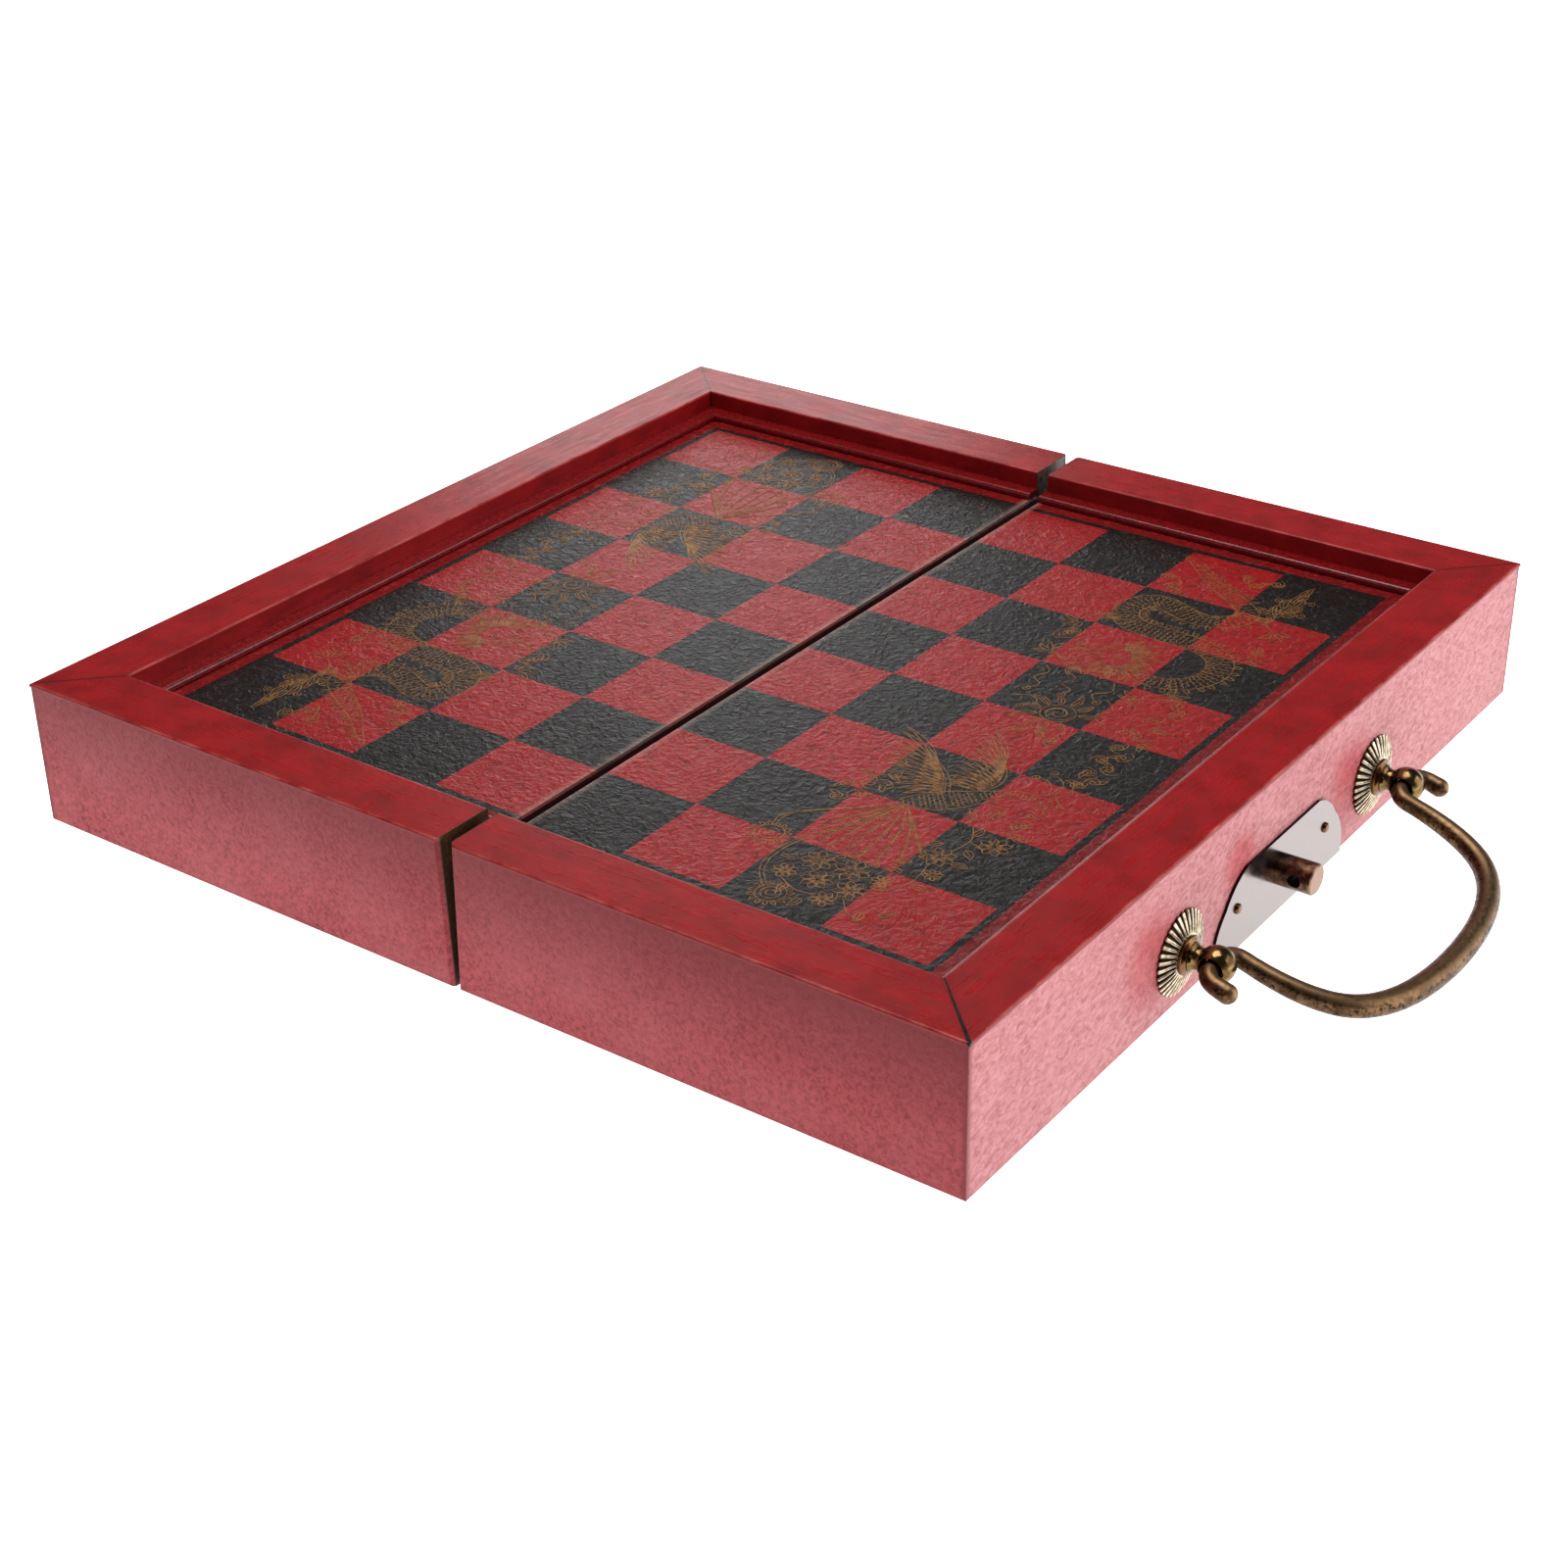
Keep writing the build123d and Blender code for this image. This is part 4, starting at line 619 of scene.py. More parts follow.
def inked(name, turn, body):
    """The strokes as flat ribbons: a box section, width w to the sides of each stroke's line, w
    falling to 0.55 w at its ends, from just in the sheet to just over it. Turned round the
    middle of the board for the left half."""
    points, faces, first = [], [], 0
    for group in strokes:
        drawn, count = group.shape[:2]
        line = (group - (FIELD - FOLD_MARGIN, FIELD)) * turn
        way = np.gradient(line, axis=1)
        way /= np.maximum(np.linalg.norm(way, axis=2), 1e-6)[..., None]
        t = np.linspace(0, 1, count)
        half = 0.5 * INK_LINE * (0.55 + 0.45 * np.sin(np.pi * t) ** 0.5)[None, :, None]
        out = np.stack([-way[..., 1], way[..., 0]], -1) * half
        low = np.full((drawn, count, 1), SURFACE_Z - INK_SINK)
        # each stroke lies a hair higher or lower than the next, so that crossings don't flicker
        shade = (np.arange(drawn) + first) * 0.618 % 1
        high = np.broadcast_to(SURFACE_Z + INK_RISE + INK_SPREAD * shade[:, None, None],
                               (drawn, count, 1))
        corners = [np.concatenate([line + side * out, z], -1) for side, z in
                   ((1, low), (-1, low), (-1, high), (1, high))]
        points.append(np.stack(corners, 2).reshape(-1, 3))
        start = first + (np.arange(drawn)[:, None] * count + np.arange(count - 1)) * 4
        side = np.arange(4)
        begin, beside = start[..., None], (side + 1) % 4
        quads = np.stack([begin + side, begin + beside, begin + beside + 4, begin + side + 4], -1)
        quads = quads[..., ::-1]
        near = first + np.arange(drawn)[:, None] * count * 4 + np.array([0, 1, 2, 3])
        far = first + (np.arange(drawn)[:, None] * count + count - 1) * 4 + np.array([3, 2, 1, 0])
        faces += quads.reshape(-1, 4).tolist() + near.tolist() + far.tolist()
        first += drawn * count * 4
    mesh = bpy.data.meshes.new(name)
    mesh.from_pydata(np.concatenate(points) / 1000, [], faces)
    mesh.materials.append(gold_ink)
    piece = bpy.data.objects.new(name, mesh)
    bpy.context.scene.collection.objects.link(piece)
    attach(piece, body)


# bronze-powder ink, printed: dull gold, and browner where it is thin
gold_ink, place = blank("worn_gold_ink")
m = gold_ink
worn = add(m, "TexNoise", {"Vector": place, "Scale": 1 / INK_WORN, "Detail": 4.0})[0]
thin = add(m, "MapRange", {0: worn, 1: 0.42, 2: 0.66})[0]
colour = add(m, "Mix", {0: thin, 6: srgb(GOLD), 7: srgb(GOLD_THIN)}, data_type="RGBA")[2]
add(m, "OutputMaterial", {0: add(m, "BsdfPrincipled", {
    "Base Color": colour, "Metallic": 0.25, "IOR": 1.5,
    "Roughness": add(m, "MapRange", {0: worn, 3: 0.35, 4: 0.55})[0]})[0]})
inked("gold_drawing_right", 1, "right_tray")
inked("gold_drawing_left", -1, "left_tray")

# ---------------------------------------------------------------------------------------------
# Under each half board is a fibreboard panel, its cut edge stained at the fold, with a flocked
# lining below. The tray's wooden hinge wall and the dividers are stained the same dark red.
STAIN, STAIN_DEEP, STAIN_GRAIN = "5d1013", "300608", "7a1a1b"
FLOCK, FLOCK_DEEP, FLOCK_SHEEN = "6d0f14", "430609", "e08080"
FIBRE, BOARD_BLOTCH, GRAIN, NAP, BRUSHED = 0.5, 8.0, 0.9, 0.35, 12.0  # mm
FIBRE_RELIEF, GRAIN_RELIEF, NAP_RELIEF = 0.00004, 0.00003, 0.0001  # m

# fibreboard with a thin stain: blotchy, and dull with fine fibres
stained_board, place = blank("stained_fibreboard")
m = stained_board
fibre = add(m, "TexNoise", {"Vector": place, "Scale": 1 / FIBRE, "Detail": 3.0})[0]
blotch = add(m, "TexNoise", {"Vector": place, "Scale": 1 / BOARD_BLOTCH, "Detail": 2.0})[0]
tone = add(m, "Math", {0: fibre, 1: blotch}, operation="MULTIPLY")[0]
tone = add(m, "MapRange", {0: tone, 1: 0.12, 2: 0.42})[0]
colour = add(m, "Mix", {0: tone, 6: srgb(STAIN_DEEP), 7: srgb(STAIN)}, data_type="RGBA")[2]
relief = add(m, "Bump", {"Strength": 1.0, "Distance": FIBRE_RELIEF, "Height": fibre})[0]
add(m, "OutputMaterial", {0: add(m, "BsdfPrincipled", {
    "Base Color": colour, "Roughness": add(m, "MapRange", {0: fibre, 3: 0.6, 4: 0.85})[0],
    "Normal": relief, "IOR": 1.47})[0]})
dress(stained_board, "board_panel_left", "board_panel_right")

# beech, sawn and stained: the darker grain runs along the fold
stained_wood, place = blank("stained_beech")
m = stained_wood
stretched = add(m, "Mapping", {"Vector": place, "Scale": (1.0, 0.05, 1.0)})[0]
grain = add(m, "TexNoise", {"Vector": stretched, "Scale": 1 / GRAIN, "Detail": 4.0,
                            "Distortion": 0.3})[0]
tone = add(m, "MapRange", {0: grain, 1: 0.35, 2: 0.65})[0]
colour = add(m, "Mix", {0: tone, 6: srgb(STAIN_DEEP), 7: srgb(STAIN_GRAIN)}, data_type="RGBA")[2]
relief = add(m, "Bump", {"Strength": 1.0, "Distance": GRAIN_RELIEF, "Height": grain})[0]
add(m, "OutputMaterial", {0: add(m, "BsdfPrincipled", {
    "Base Color": colour, "Roughness": add(m, "MapRange", {0: grain, 3: 0.42, 4: 0.6})[0],
    "Normal": relief, "IOR": 1.5})[0]})
dress(stained_wood, "hinge_wall_left", "hinge_wall_right",
      *[f"divider_{part}_{side}" for part in ("long", "cross_1", "cross_2", "cross_3")
        for side in ("left", "right")])

# short rayon flock: no gloss, with brushed patches and a soft sheen from the side
flock, place = blank("dark_red_flock")
m = flock
nap = add(m, "TexNoise", {"Vector": place, "Scale": 1 / NAP, "Detail": 2.0})[0]
brushed = add(m, "TexNoise", {"Vector": place, "Scale": 1 / BRUSHED, "Detail": 2.0})[0]
tone = add(m, "Math", {0: nap, 1: brushed}, operation="ADD")[0]
tone = add(m, "MapRange", {0: tone, 1: 0.75, 2: 1.25})[0]
colour = add(m, "Mix", {0: tone, 6: srgb(FLOCK_DEEP), 7: srgb(FLOCK)}, data_type="RGBA")[2]
relief = add(m, "Bump", {"Strength": 1.0, "Distance": NAP_RELIEF, "Height": nap})[0]
add(m, "OutputMaterial", {0: add(m, "BsdfPrincipled", {
    "Base Color": colour, "Roughness": add(m, "MapRange", {0: nap, 3: 0.85, 4: 1.0})[0],
    "Normal": relief, "Sheen Weight": 0.6, "Sheen Roughness": 0.5,
    "Sheen Tint": srgb(FLOCK_SHEEN)})[0]})
dress(flock, "tray_lining_left", "tray_lining_right")

# ---------------------------------------------------------------------------------------------
# Two small brass-plated butt hinges are let into the hinge walls, and each leaf has three flat
# plated steel screws. Hidden nuts of the same steel hold the handle's posts.
HINGE_BRASS, HINGE_STAIN, STEEL_DARK, STEEL_BRIGHT = "c9a45c", "93733a", "8d887f", "c8c3b8"
BRUSHING, STAINS, SPOTS = 2.0, 0.35, 1.2  # to the mm
BRUSHING_RELIEF = 0.000006  # m

# brass plate with brushing along the hinge, stained in patches
hinge_brass, place = blank("plated_hinge_brass")
m = hinge_brass
brushed = add(m, "Mapping", {"Vector": place, "Scale": (3.0, 0.2, 3.0)})[0]
line = add(m, "TexNoise", {"Vector": brushed, "Scale": BRUSHING, "Detail": 3.0})[0]
stain = add(m, "TexNoise", {"Vector": place, "Scale": STAINS, "Detail": 3.0})[0]
tone = add(m, "MapRange", {0: stain, 1: 0.4, 2: 0.65})[0]
colour = add(m, "Mix", {0: tone, 6: srgb(HINGE_BRASS), 7: srgb(HINGE_STAIN)}, data_type="RGBA")[2]
relief = add(m, "Bump", {"Strength": 1.0, "Distance": BRUSHING_RELIEF, "Height": line})[0]
add(m, "OutputMaterial", {0: add(m, "BsdfPrincipled", {
    "Base Color": colour, "Metallic": 1.0, "Normal": relief,
    "Roughness": add(m, "MapRange", {0: line, 3: 0.22, 4: 0.42})[0]})[0]})
dress(hinge_brass, *[f"hinge_leaf_{end}_{side}" for end in ("back", "front")
                     for side in ("left", "right")])

# nickel-plated steel, barrel plated: satin, with faint spots
plated_steel, place = blank("nickel_plated_steel")
m = plated_steel
spot = add(m, "TexNoise", {"Vector": place, "Scale": SPOTS, "Detail": 4.0})[0]
colour = add(m, "Mix", {0: spot, 6: srgb(STEEL_DARK), 7: srgb(STEEL_BRIGHT)}, data_type="RGBA")[2]
add(m, "OutputMaterial", {0: add(m, "BsdfPrincipled", {
    "Base Color": colour, "Metallic": 1.0,
    "Roughness": add(m, "MapRange", {0: spot, 3: 0.25, 4: 0.45})[0]})[0]})
dress(plated_steel, "hinge_pin_back", "hinge_pin_front", "hinge_screws_left", "hinge_screws_right",
      "eye_nuts")

# ---------------------------------------------------------------------------------------------
# The latch is a plate of polished nickel on each end wall, with domed nails. The right one has
# a drilled post of dark bronze with a bright turned end, and the left one a hinged hasp.
POST_LENGTH, POST_BRIGHT = 9.0, 0.25  # mm, of the post, and of its end that is turned bright
POST_BORE_X, POST_Z, POST_BORE_RADIUS = OUTER_X + 5.2, 10.4, 1.5  # mm, of the hole across it
HAZE, SCRATCHES, GROOVES, PATCHES = 0.25, 2.5, 1.5, 0.7  # to the mm
SCRATCH_RELIEF, GROOVE_RELIEF = 0.000004, 0.00002  # m
NICKEL, NICKEL_HAZE, PLATE_EDGE_SHADE = "7f7775", "898180", "2e2220"
POST_DARK, POST_RUBBED, POST_END, POST_BORE_SHADE = "3d2a22", "7a5a42", "8c6d5a", "120c09"

# polished nickel plate: it mirrors the pale studio, with faint scratches, and its edges are painted
# dark, as painted shade
polished_plate, place = blank("polished_nickel_plate")
m = polished_plate
haze = add(m, "TexNoise", {"Vector": place, "Scale": HAZE, "Detail": 3.0})[0]
drawn = add(m, "Mapping", {"Vector": place, "Rotation": (0.6, 0.0, 0.0),
                           "Scale": (1.0, 0.12, 3.0)})[0]
scratch = add(m, "TexNoise", {"Vector": drawn, "Scale": SCRATCHES, "Detail": 2.0})[0]
colour = add(m, "Mix", {0: haze, 6: srgb(NICKEL), 7: srgb(NICKEL_HAZE)}, data_type="RGBA")[2]
# painted shade: faces that turn away from X, the plate's edges, are painted dark
facing = add(m, "SeparateXYZ", {0: add(m, "NewGeometry")["Normal"]})["X"]
facing = add(m, "Math", {0: facing}, operation="ABSOLUTE")[0]
edge = add(m, "MapRange", {0: facing, 1: 0.75, 2: 0.45})[0]
colour = add(m, "Mix", {0: edge, 6: colour, 7: srgb(PLATE_EDGE_SHADE)}, data_type="RGBA")[2]
relief = add(m, "Bump", {"Strength": 0.6, "Distance": SCRATCH_RELIEF, "Height": scratch})[0]
add(m, "OutputMaterial", {0: add(m, "BsdfPrincipled", {
    "Base Color": colour, "Metallic": 1.0, "Normal": relief,
    "Roughness": add(m, "MapRange", {0: haze, 1: 0.3, 2: 0.7, 3: 0.12, 4: 0.24})[0]})[0]})
dress(polished_plate, "latch_plate", "hasp_plate", "hasp")

# bronze, turned and browned: fine grooves round it, rubbed in patches, bare at the end face, and
# painted dark as shade round the hole across it
dark_bronze, place = blank("dark_turned_bronze")
m = dark_bronze
turned = add(m, "Mapping", {"Vector": place, "Scale": (4.0, 0.4, 0.4)})[0]
groove = add(m, "TexNoise", {"Vector": turned, "Scale": GROOVES, "Detail": 3.0})[0]
patch = add(m, "TexNoise", {"Vector": place, "Scale": PATCHES, "Detail": 4.0})[0]
tone = add(m, "MapRange", {0: patch, 1: 0.42, 2: 0.66})[0]
colour = add(m, "Mix", {0: tone, 6: srgb(POST_DARK), 7: srgb(POST_RUBBED)}, data_type="RGBA")[2]
out = add(m, "SeparateXYZ", {0: place})["X"]
end_face = add(m, "Math", {0: out, 1: OUTER_X + POST_LENGTH - POST_BRIGHT}, operation="GREATER_THAN")[0]
colour = add(m, "Mix", {0: end_face, 6: colour, 7: srgb(POST_END)}, data_type="RGBA")[2]
# painted shade: a dark disc round the hole that crosses the post
from_bore = add(m, "VectorMath", {0: place, 1: (POST_BORE_X, 0.0, POST_Z)}, operation="SUBTRACT")[0]
from_bore = add(m, "VectorMath", {0: from_bore, 1: (1.0, 0.0, 1.0)}, operation="MULTIPLY")[0]
from_bore = add(m, "VectorMath", {0: from_bore}, operation="LENGTH")["Value"]
bore_shade = add(m, "MapRange", {0: from_bore, 1: POST_BORE_RADIUS + 0.1, 2: POST_BORE_RADIUS - 0.02})[0]
colour = add(m, "Mix", {0: bore_shade, 6: colour, 7: srgb(POST_BORE_SHADE)}, data_type="RGBA")[2]
relief = add(m, "Bump", {"Strength": 1.0, "Distance": GROOVE_RELIEF, "Height": groove})[0]
add(m, "OutputMaterial", {0: add(m, "BsdfPrincipled", {
    "Base Color": colour, "Metallic": 1.0, "Normal": relief,
    "Roughness": add(m, "MapRange", {0: patch, 3: 0.24, 4: 0.44})[0]})[0]})
dress(dark_bronze, "latch_post", "hasp_pin")

# ---------------------------------------------------------------------------------------------
# The handle hangs in two turned eyes of antique brass. Under each eye is a pressed rosette: a
# dished disc of thin brass with radial pleats, black in the valleys and rubbed on the ridges.
EYE_Y, EYE_Z = 45.5, 12.9  # mm, the eyes' places on the right end wall
ROSETTE_RADIUS, ROSETTE_HOLE, ROSETTE_THICKNESS = 9.6, 1.66, 0.55  # mm
ROSETTE_HIGH, ROSETTE_EDGE = 2.2, 0.72  # mm, height at the collar and of the ridges at the edge
PLEATS, PLEAT_DEPTH = 32, 0.62  # and mm
PATINA, PATINA_RELIEF = 0.8, 0.00002  # to the mm, and m
SHARP_FROM = 38.0  # degrees, from which the turned pieces keep a sharp edge
COLLAR_RADIUS = 4.4  # mm
ROSETTE_BRIGHT, ROSETTE_TARNISH, ROSETTE_VALLEY = "cfc2ab", "8d7356", "1c120b"


def faces_of(rows, columns, close_rows=False):
    """Quads of a grid whose columns close round, and whose rows do if asked."""
    row = np.arange(rows if close_rows else rows - 1)[:, None]
    column = np.arange(columns)[None, :]
    after, beside = (row + 1) % rows, (column + 1) % columns
    corners = [row * columns + column, row * columns + beside, after * columns + beside,
               after * columns + column]
    return np.stack([np.broadcast_to(c, (len(row), columns)) for c in corners], -1).reshape(-1, 4)


def make_piece(name, shells, material, body):
    """One mesh of closed shells in mm, each (points on a grid, whether its rows close too). Rows
    that don't close end in a fan round their own middle. A shell's faces are turned so that the
    volume they enclose, the sum of a . (b x c) / 6 over triangles, is positive."""
    all_points, all_faces, first = [], [], 0
    for grid, close_rows in shells:
        rows, columns = grid.shape[:2]
        points, quads = grid.reshape(-1, 3), faces_of(rows, columns, close_rows)
        fans = np.zeros((0, 3), int)
        if not close_rows:
            ring = np.arange(columns)
            beside, last = (ring + 1) % columns, (rows - 1) * columns
            low, high = len(points), len(points) + 1
            fans = np.concatenate([
                np.stack([beside, ring, np.full(columns, low)], 1),
                np.stack([last + ring, last + beside, np.full(columns, high)], 1)])
            points = np.concatenate([points, grid[0].mean(0)[None], grid[-1].mean(0)[None]])
        corners = np.concatenate([quads[:, [0, 1, 2]], quads[:, [0, 2, 3]], fans])
        a, b, c = (points[corners[:, k]] - points.mean(0) for k in range(3))
        if (a * np.cross(b, c)).sum() < 0:
            quads, fans = quads[:, ::-1], fans[:, ::-1]
        all_points.append(points)
        all_faces += (quads + first).tolist() + (fans + first).tolist()
        first += len(points)
    mesh = bpy.data.meshes.new(name)
    mesh.from_pydata(np.concatenate(all_points) / 1000, [], all_faces)
    mesh.polygons.foreach_set("use_smooth", np.ones(len(mesh.polygons), bool))
    mesh.set_sharp_from_angle(angle=radians(SHARP_FROM))
    mesh.materials.append(material)
    piece = bpy.data.objects.new(name, mesh)
    bpy.context.scene.collection.objects.link(piece)
    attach(piece, body)
    return piece


def mark(piece, name, values):
    """Keep one number for each point of a piece, for its material."""
    kept = piece.data.attributes.new(name, "FLOAT", "POINT").data
    kept.foreach_set("value", values.astype(np.float32))


def rosette_shell(y_centre):
    """A section loop carried round the post's axis. Out to the edge, the face falls from the
    collar in a shallow hollow; n pleats lower it by depth * reach * (1 - cos n t) / 2 and
    draw the edge in, and the back follows at the metal's thickness."""
    t = np.linspace(0, 2 * np.pi, PLEATS * 10, endpoint=False)[None, :]
    valley = 0.5 - 0.5 * np.cos(PLEATS * t)
    out = np.linspace(0, 1, 22)[:, None]
    reach = np.clip((out - 0.30) / 0.16, 0, 1)
    radius = ROSETTE_HOLE + (ROSETTE_RADIUS - 0.55 * valley * out ** 6 - ROSETTE_HOLE) * out
    fall = np.clip((radius - COLLAR_RADIUS) / (ROSETTE_RADIUS - COLLAR_RADIUS), 0, 1)
    face = ROSETTE_HIGH - (ROSETTE_HIGH - ROSETTE_EDGE) * (0.55 * fall + 0.45 * fall ** 2)
    face = face - PLEAT_DEPTH * reach * valley * (0.35 + 0.65 * fall)
    face = np.maximum(face, 0.12)
    back = np.maximum(face - ROSETTE_THICKNESS, 0.02)
    lip = (face[-1:] + back[-1:]) / 2
    height = np.concatenate([face, lip, back[::-1]])
    r = np.concatenate([radius, radius[-1:], radius[::-1] - 0.04])
    angle = np.broadcast_to(t, r.shape)
    grid = np.stack([OUTER_X + height, y_centre + r * np.cos(angle), EYE_Z + r * np.sin(angle)], -1)
    dark = np.concatenate([reach * valley, reach[-1:] * valley, np.ones_like(back)])
    return grid, dark.ravel()


# brass sheet, pressed, blackened and wiped: black stays in the valleys
antique_brass, place = blank("antique_pressed_brass")
m = antique_brass
valley = add(m, "Attribute", attribute_name="valley")["Fac"]
patina = add(m, "TexNoise", {"Vector": place, "Scale": PATINA, "Detail": 4.0})[0]
tone = add(m, "MapRange", {0: patina, 1: 0.35, 2: 0.7})[0]
colour = add(m, "Mix", {0: tone, 6: srgb(ROSETTE_BRIGHT), 7: srgb(ROSETTE_TARNISH)},
             data_type="RGBA")[2]
sunk = add(m, "MapRange", {0: valley, 1: 0.3, 2: 0.62})[0]
colour = add(m, "Mix", {0: sunk, 6: colour, 7: srgb(ROSETTE_VALLEY)}, data_type="RGBA")[2]
relief = add(m, "Bump", {"Strength": 1.0, "Distance": PATINA_RELIEF, "Height": patina})[0]
add(m, "OutputMaterial", {0: add(m, "BsdfPrincipled", {
    "Base Color": colour, "Metallic": 1.0, "Normal": relief,
    "Roughness": add(m, "MapRange", {0: sunk, 3: 0.24, 4: 0.5})[0]})[0]})

for sign, end in ((-1, "front"), (1, "back")):
    shell, dark = rosette_shell(sign * EYE_Y)
    rosette = make_piece(f"fluted_rosette_{end}", [(shell, True)], antique_brass, "right_tray")
    mark(rosette, "valley", dark)
    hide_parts(f"rosette_{end}")

# ---------------------------------------------------------------------------------------------
# Each eye is turned in one piece: a shank through the wall, a flared collar, a neck and a ball,
# which is drilled across and countersunk on both sides for the handle's wire.
EYE_REACH, EYE_RADIUS, NECK_RADIUS = 8.7, 4.1, 2.5  # mm
MOUTH_RADIUS, HOLE_RADIUS = 2.9, 2.08  # mm
SHANK_RADIUS, SHANK_END = 1.6, 13.8  # mm
COLLAR_STAND = 3.0  # mm, height above the wall up to which the collar keeps its brown
RINGS, EYE_PATINA, RING_RELIEF = 1.0, 0.45, 0.000008  # to the mm, and m
EYE_BRASS, EYE_TARNISH, COLLAR_BROWN = "7d6742", "503820", "5c3a24"


def even_profile(corners, count):
    """Points at even steps along a line of corners, as two numpy columns."""
    corners = np.array(corners, float)
    run = np.concatenate([[0], np.cumsum(np.linalg.norm(np.diff(corners, axis=0), axis=1))])
    at = np.linspace(0, run[-1], count)
    return np.interp(at, run, corners[:, 0]), np.interp(at, run, corners[:, 1])


def eye_shells(y_centre):
    """Two turned shells: the post, a radius for each distance along X, and the drilled ball, an
    outline carried round the hole's own axis, along Y: arc outside, straight mouths, waist inside."""
    t = np.linspace(0, 2 * np.pi, 72, endpoint=False)[None, :]
    rise = ROSETTE_HIGH
    bulge = np.linspace(0, np.pi, 13)[1:-1]
    post = [(-SHANK_END, SHANK_RADIUS), (rise - 0.02, SHANK_RADIUS), (rise, COLLAR_RADIUS - 0.12)]
    post += [(rise + 0.3 - 0.3 * cos(a), COLLAR_RADIUS - 0.14 + 0.14 * sin(a)) for a in bulge]
    post += [(rise + 0.62, COLLAR_RADIUS - 0.45), (rise + 1.15, COLLAR_RADIUS - 1.15),
             (rise + 1.5, NECK_RADIUS + 0.85), (rise + 1.9, NECK_RADIUS + 0.25),
             (rise + 2.3, NECK_RADIUS), (EYE_REACH - 3.0, NECK_RADIUS)]
    post = np.array(post)
    stand, radius = post[:, 0][:, None], post[:, 1][:, None]
    post_grid = np.stack([OUTER_X + stand + 0 * t, y_centre + radius * np.cos(t),
                          EYE_Z + radius * np.sin(t)], -1)
    mouth = np.arccos(MOUTH_RADIUS / EYE_RADIUS)
    arc = np.linspace(-mouth, mouth, 36)
    edge = EYE_RADIUS * sin(mouth)
    inside_y, inside_r = even_profile(
        [(edge * 0.97, MOUTH_RADIUS - 0.12), (edge * 0.55, HOLE_RADIUS + 0.1),
         (edge * 0.3, HOLE_RADIUS), (-edge * 0.3, HOLE_RADIUS),
         (-edge * 0.55, HOLE_RADIUS + 0.1), (-edge * 0.97, MOUTH_RADIUS - 0.12)], 22)
    y = np.concatenate([EYE_RADIUS * np.sin(arc), inside_y])[:, None]
    r = np.concatenate([EYE_RADIUS * np.cos(arc), inside_r])[:, None]
    ball_grid = np.stack([OUTER_X + EYE_REACH + r * np.cos(t), y_centre + y + 0 * t,
                          EYE_Z + r * np.sin(t)], -1)
    return [(post_grid, False), (ball_grid, True)]


# brass, turned and lacquered brown: smooth and glossy, darker at the collar
turned_brass, place = blank("antique_turned_brass")
m = turned_brass
turned = add(m, "Mapping", {"Vector": place, "Scale": (6.0, 0.3, 0.3)})[0]
ring = add(m, "TexNoise", {"Vector": turned, "Scale": RINGS, "Detail": 2.0})[0]
patina = add(m, "TexNoise", {"Vector": place, "Scale": EYE_PATINA, "Detail": 4.0})[0]
xyz = add(m, "SeparateXYZ", {0: place})
tone = add(m, "MapRange", {0: patina, 1: 0.4, 2: 0.68})[0]
colour = add(m, "Mix", {0: tone, 6: srgb(EYE_BRASS), 7: srgb(EYE_TARNISH)}, data_type="RGBA")[2]
collar = add(m, "MapRange", {0: xyz["X"], 1: OUTER_X + COLLAR_STAND + 1.4,
                             2: OUTER_X + COLLAR_STAND, 3: 0.0, 4: 0.7})[0]
colour = add(m, "Mix", {0: collar, 6: colour, 7: srgb(COLLAR_BROWN)}, data_type="RGBA")[2]
relief = add(m, "Bump", {"Strength": 1.0, "Distance": RING_RELIEF, "Height": ring})[0]
add(m, "OutputMaterial", {0: add(m, "BsdfPrincipled", {
    "Base Color": colour, "Metallic": 1.0, "Normal": relief,
    "Roughness": add(m, "MapRange", {0: patina, 1: 0.3, 2: 0.7, 3: 0.14, 4: 0.3})[0]})[0]})

dress(turned_brass, "latch_nails", "hasp_nails")
for sign, end in ((-1, "front"), (1, "back")):
    eye = make_piece(f"turned_eye_{end}", eye_shells(sign * EYE_Y), turned_brass, "right_tray")
    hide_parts(f"eye_post_{end}")

# ---------------------------------------------------------------------------------------------
# The bail is one length of dark bronze wire, thick in the grip and necked where it goes through
# the eyes. It droops beside the case, and its short tails turn outwards behind the eyes.
DROOP = 17.0  # degrees
GRIP_DEPTH, LEG_Y = 34.4, 39.6  # mm
TAIL_Y, TAIL_LENGTH, TIP_RADIUS = 51.4, 5.8, 2.2  # mm
WIRE_THIN, WIRE_THICK, WIRE_BEND = 2.0, 2.7, 3.2  # mm
WIRE_SIDES = 32  # of each circle across it
GRIP_KNOTS = [(0, 1.0), (0.35, 0.972), (0.63, 0.89), (0.86, 0.715), (0.975, 0.43)]  # shares
WIRE_DARK, WIRE_BROWN, WIRE_SPECK, WIRE_RUBBED_HIGHLIGHT = "433021", "6e533b", "1a120c", "9a7a58"
FLECK, BLOTCH, FLECK_RELIEF = 0.9, 4.0, 0.00004  # mm, mm and m


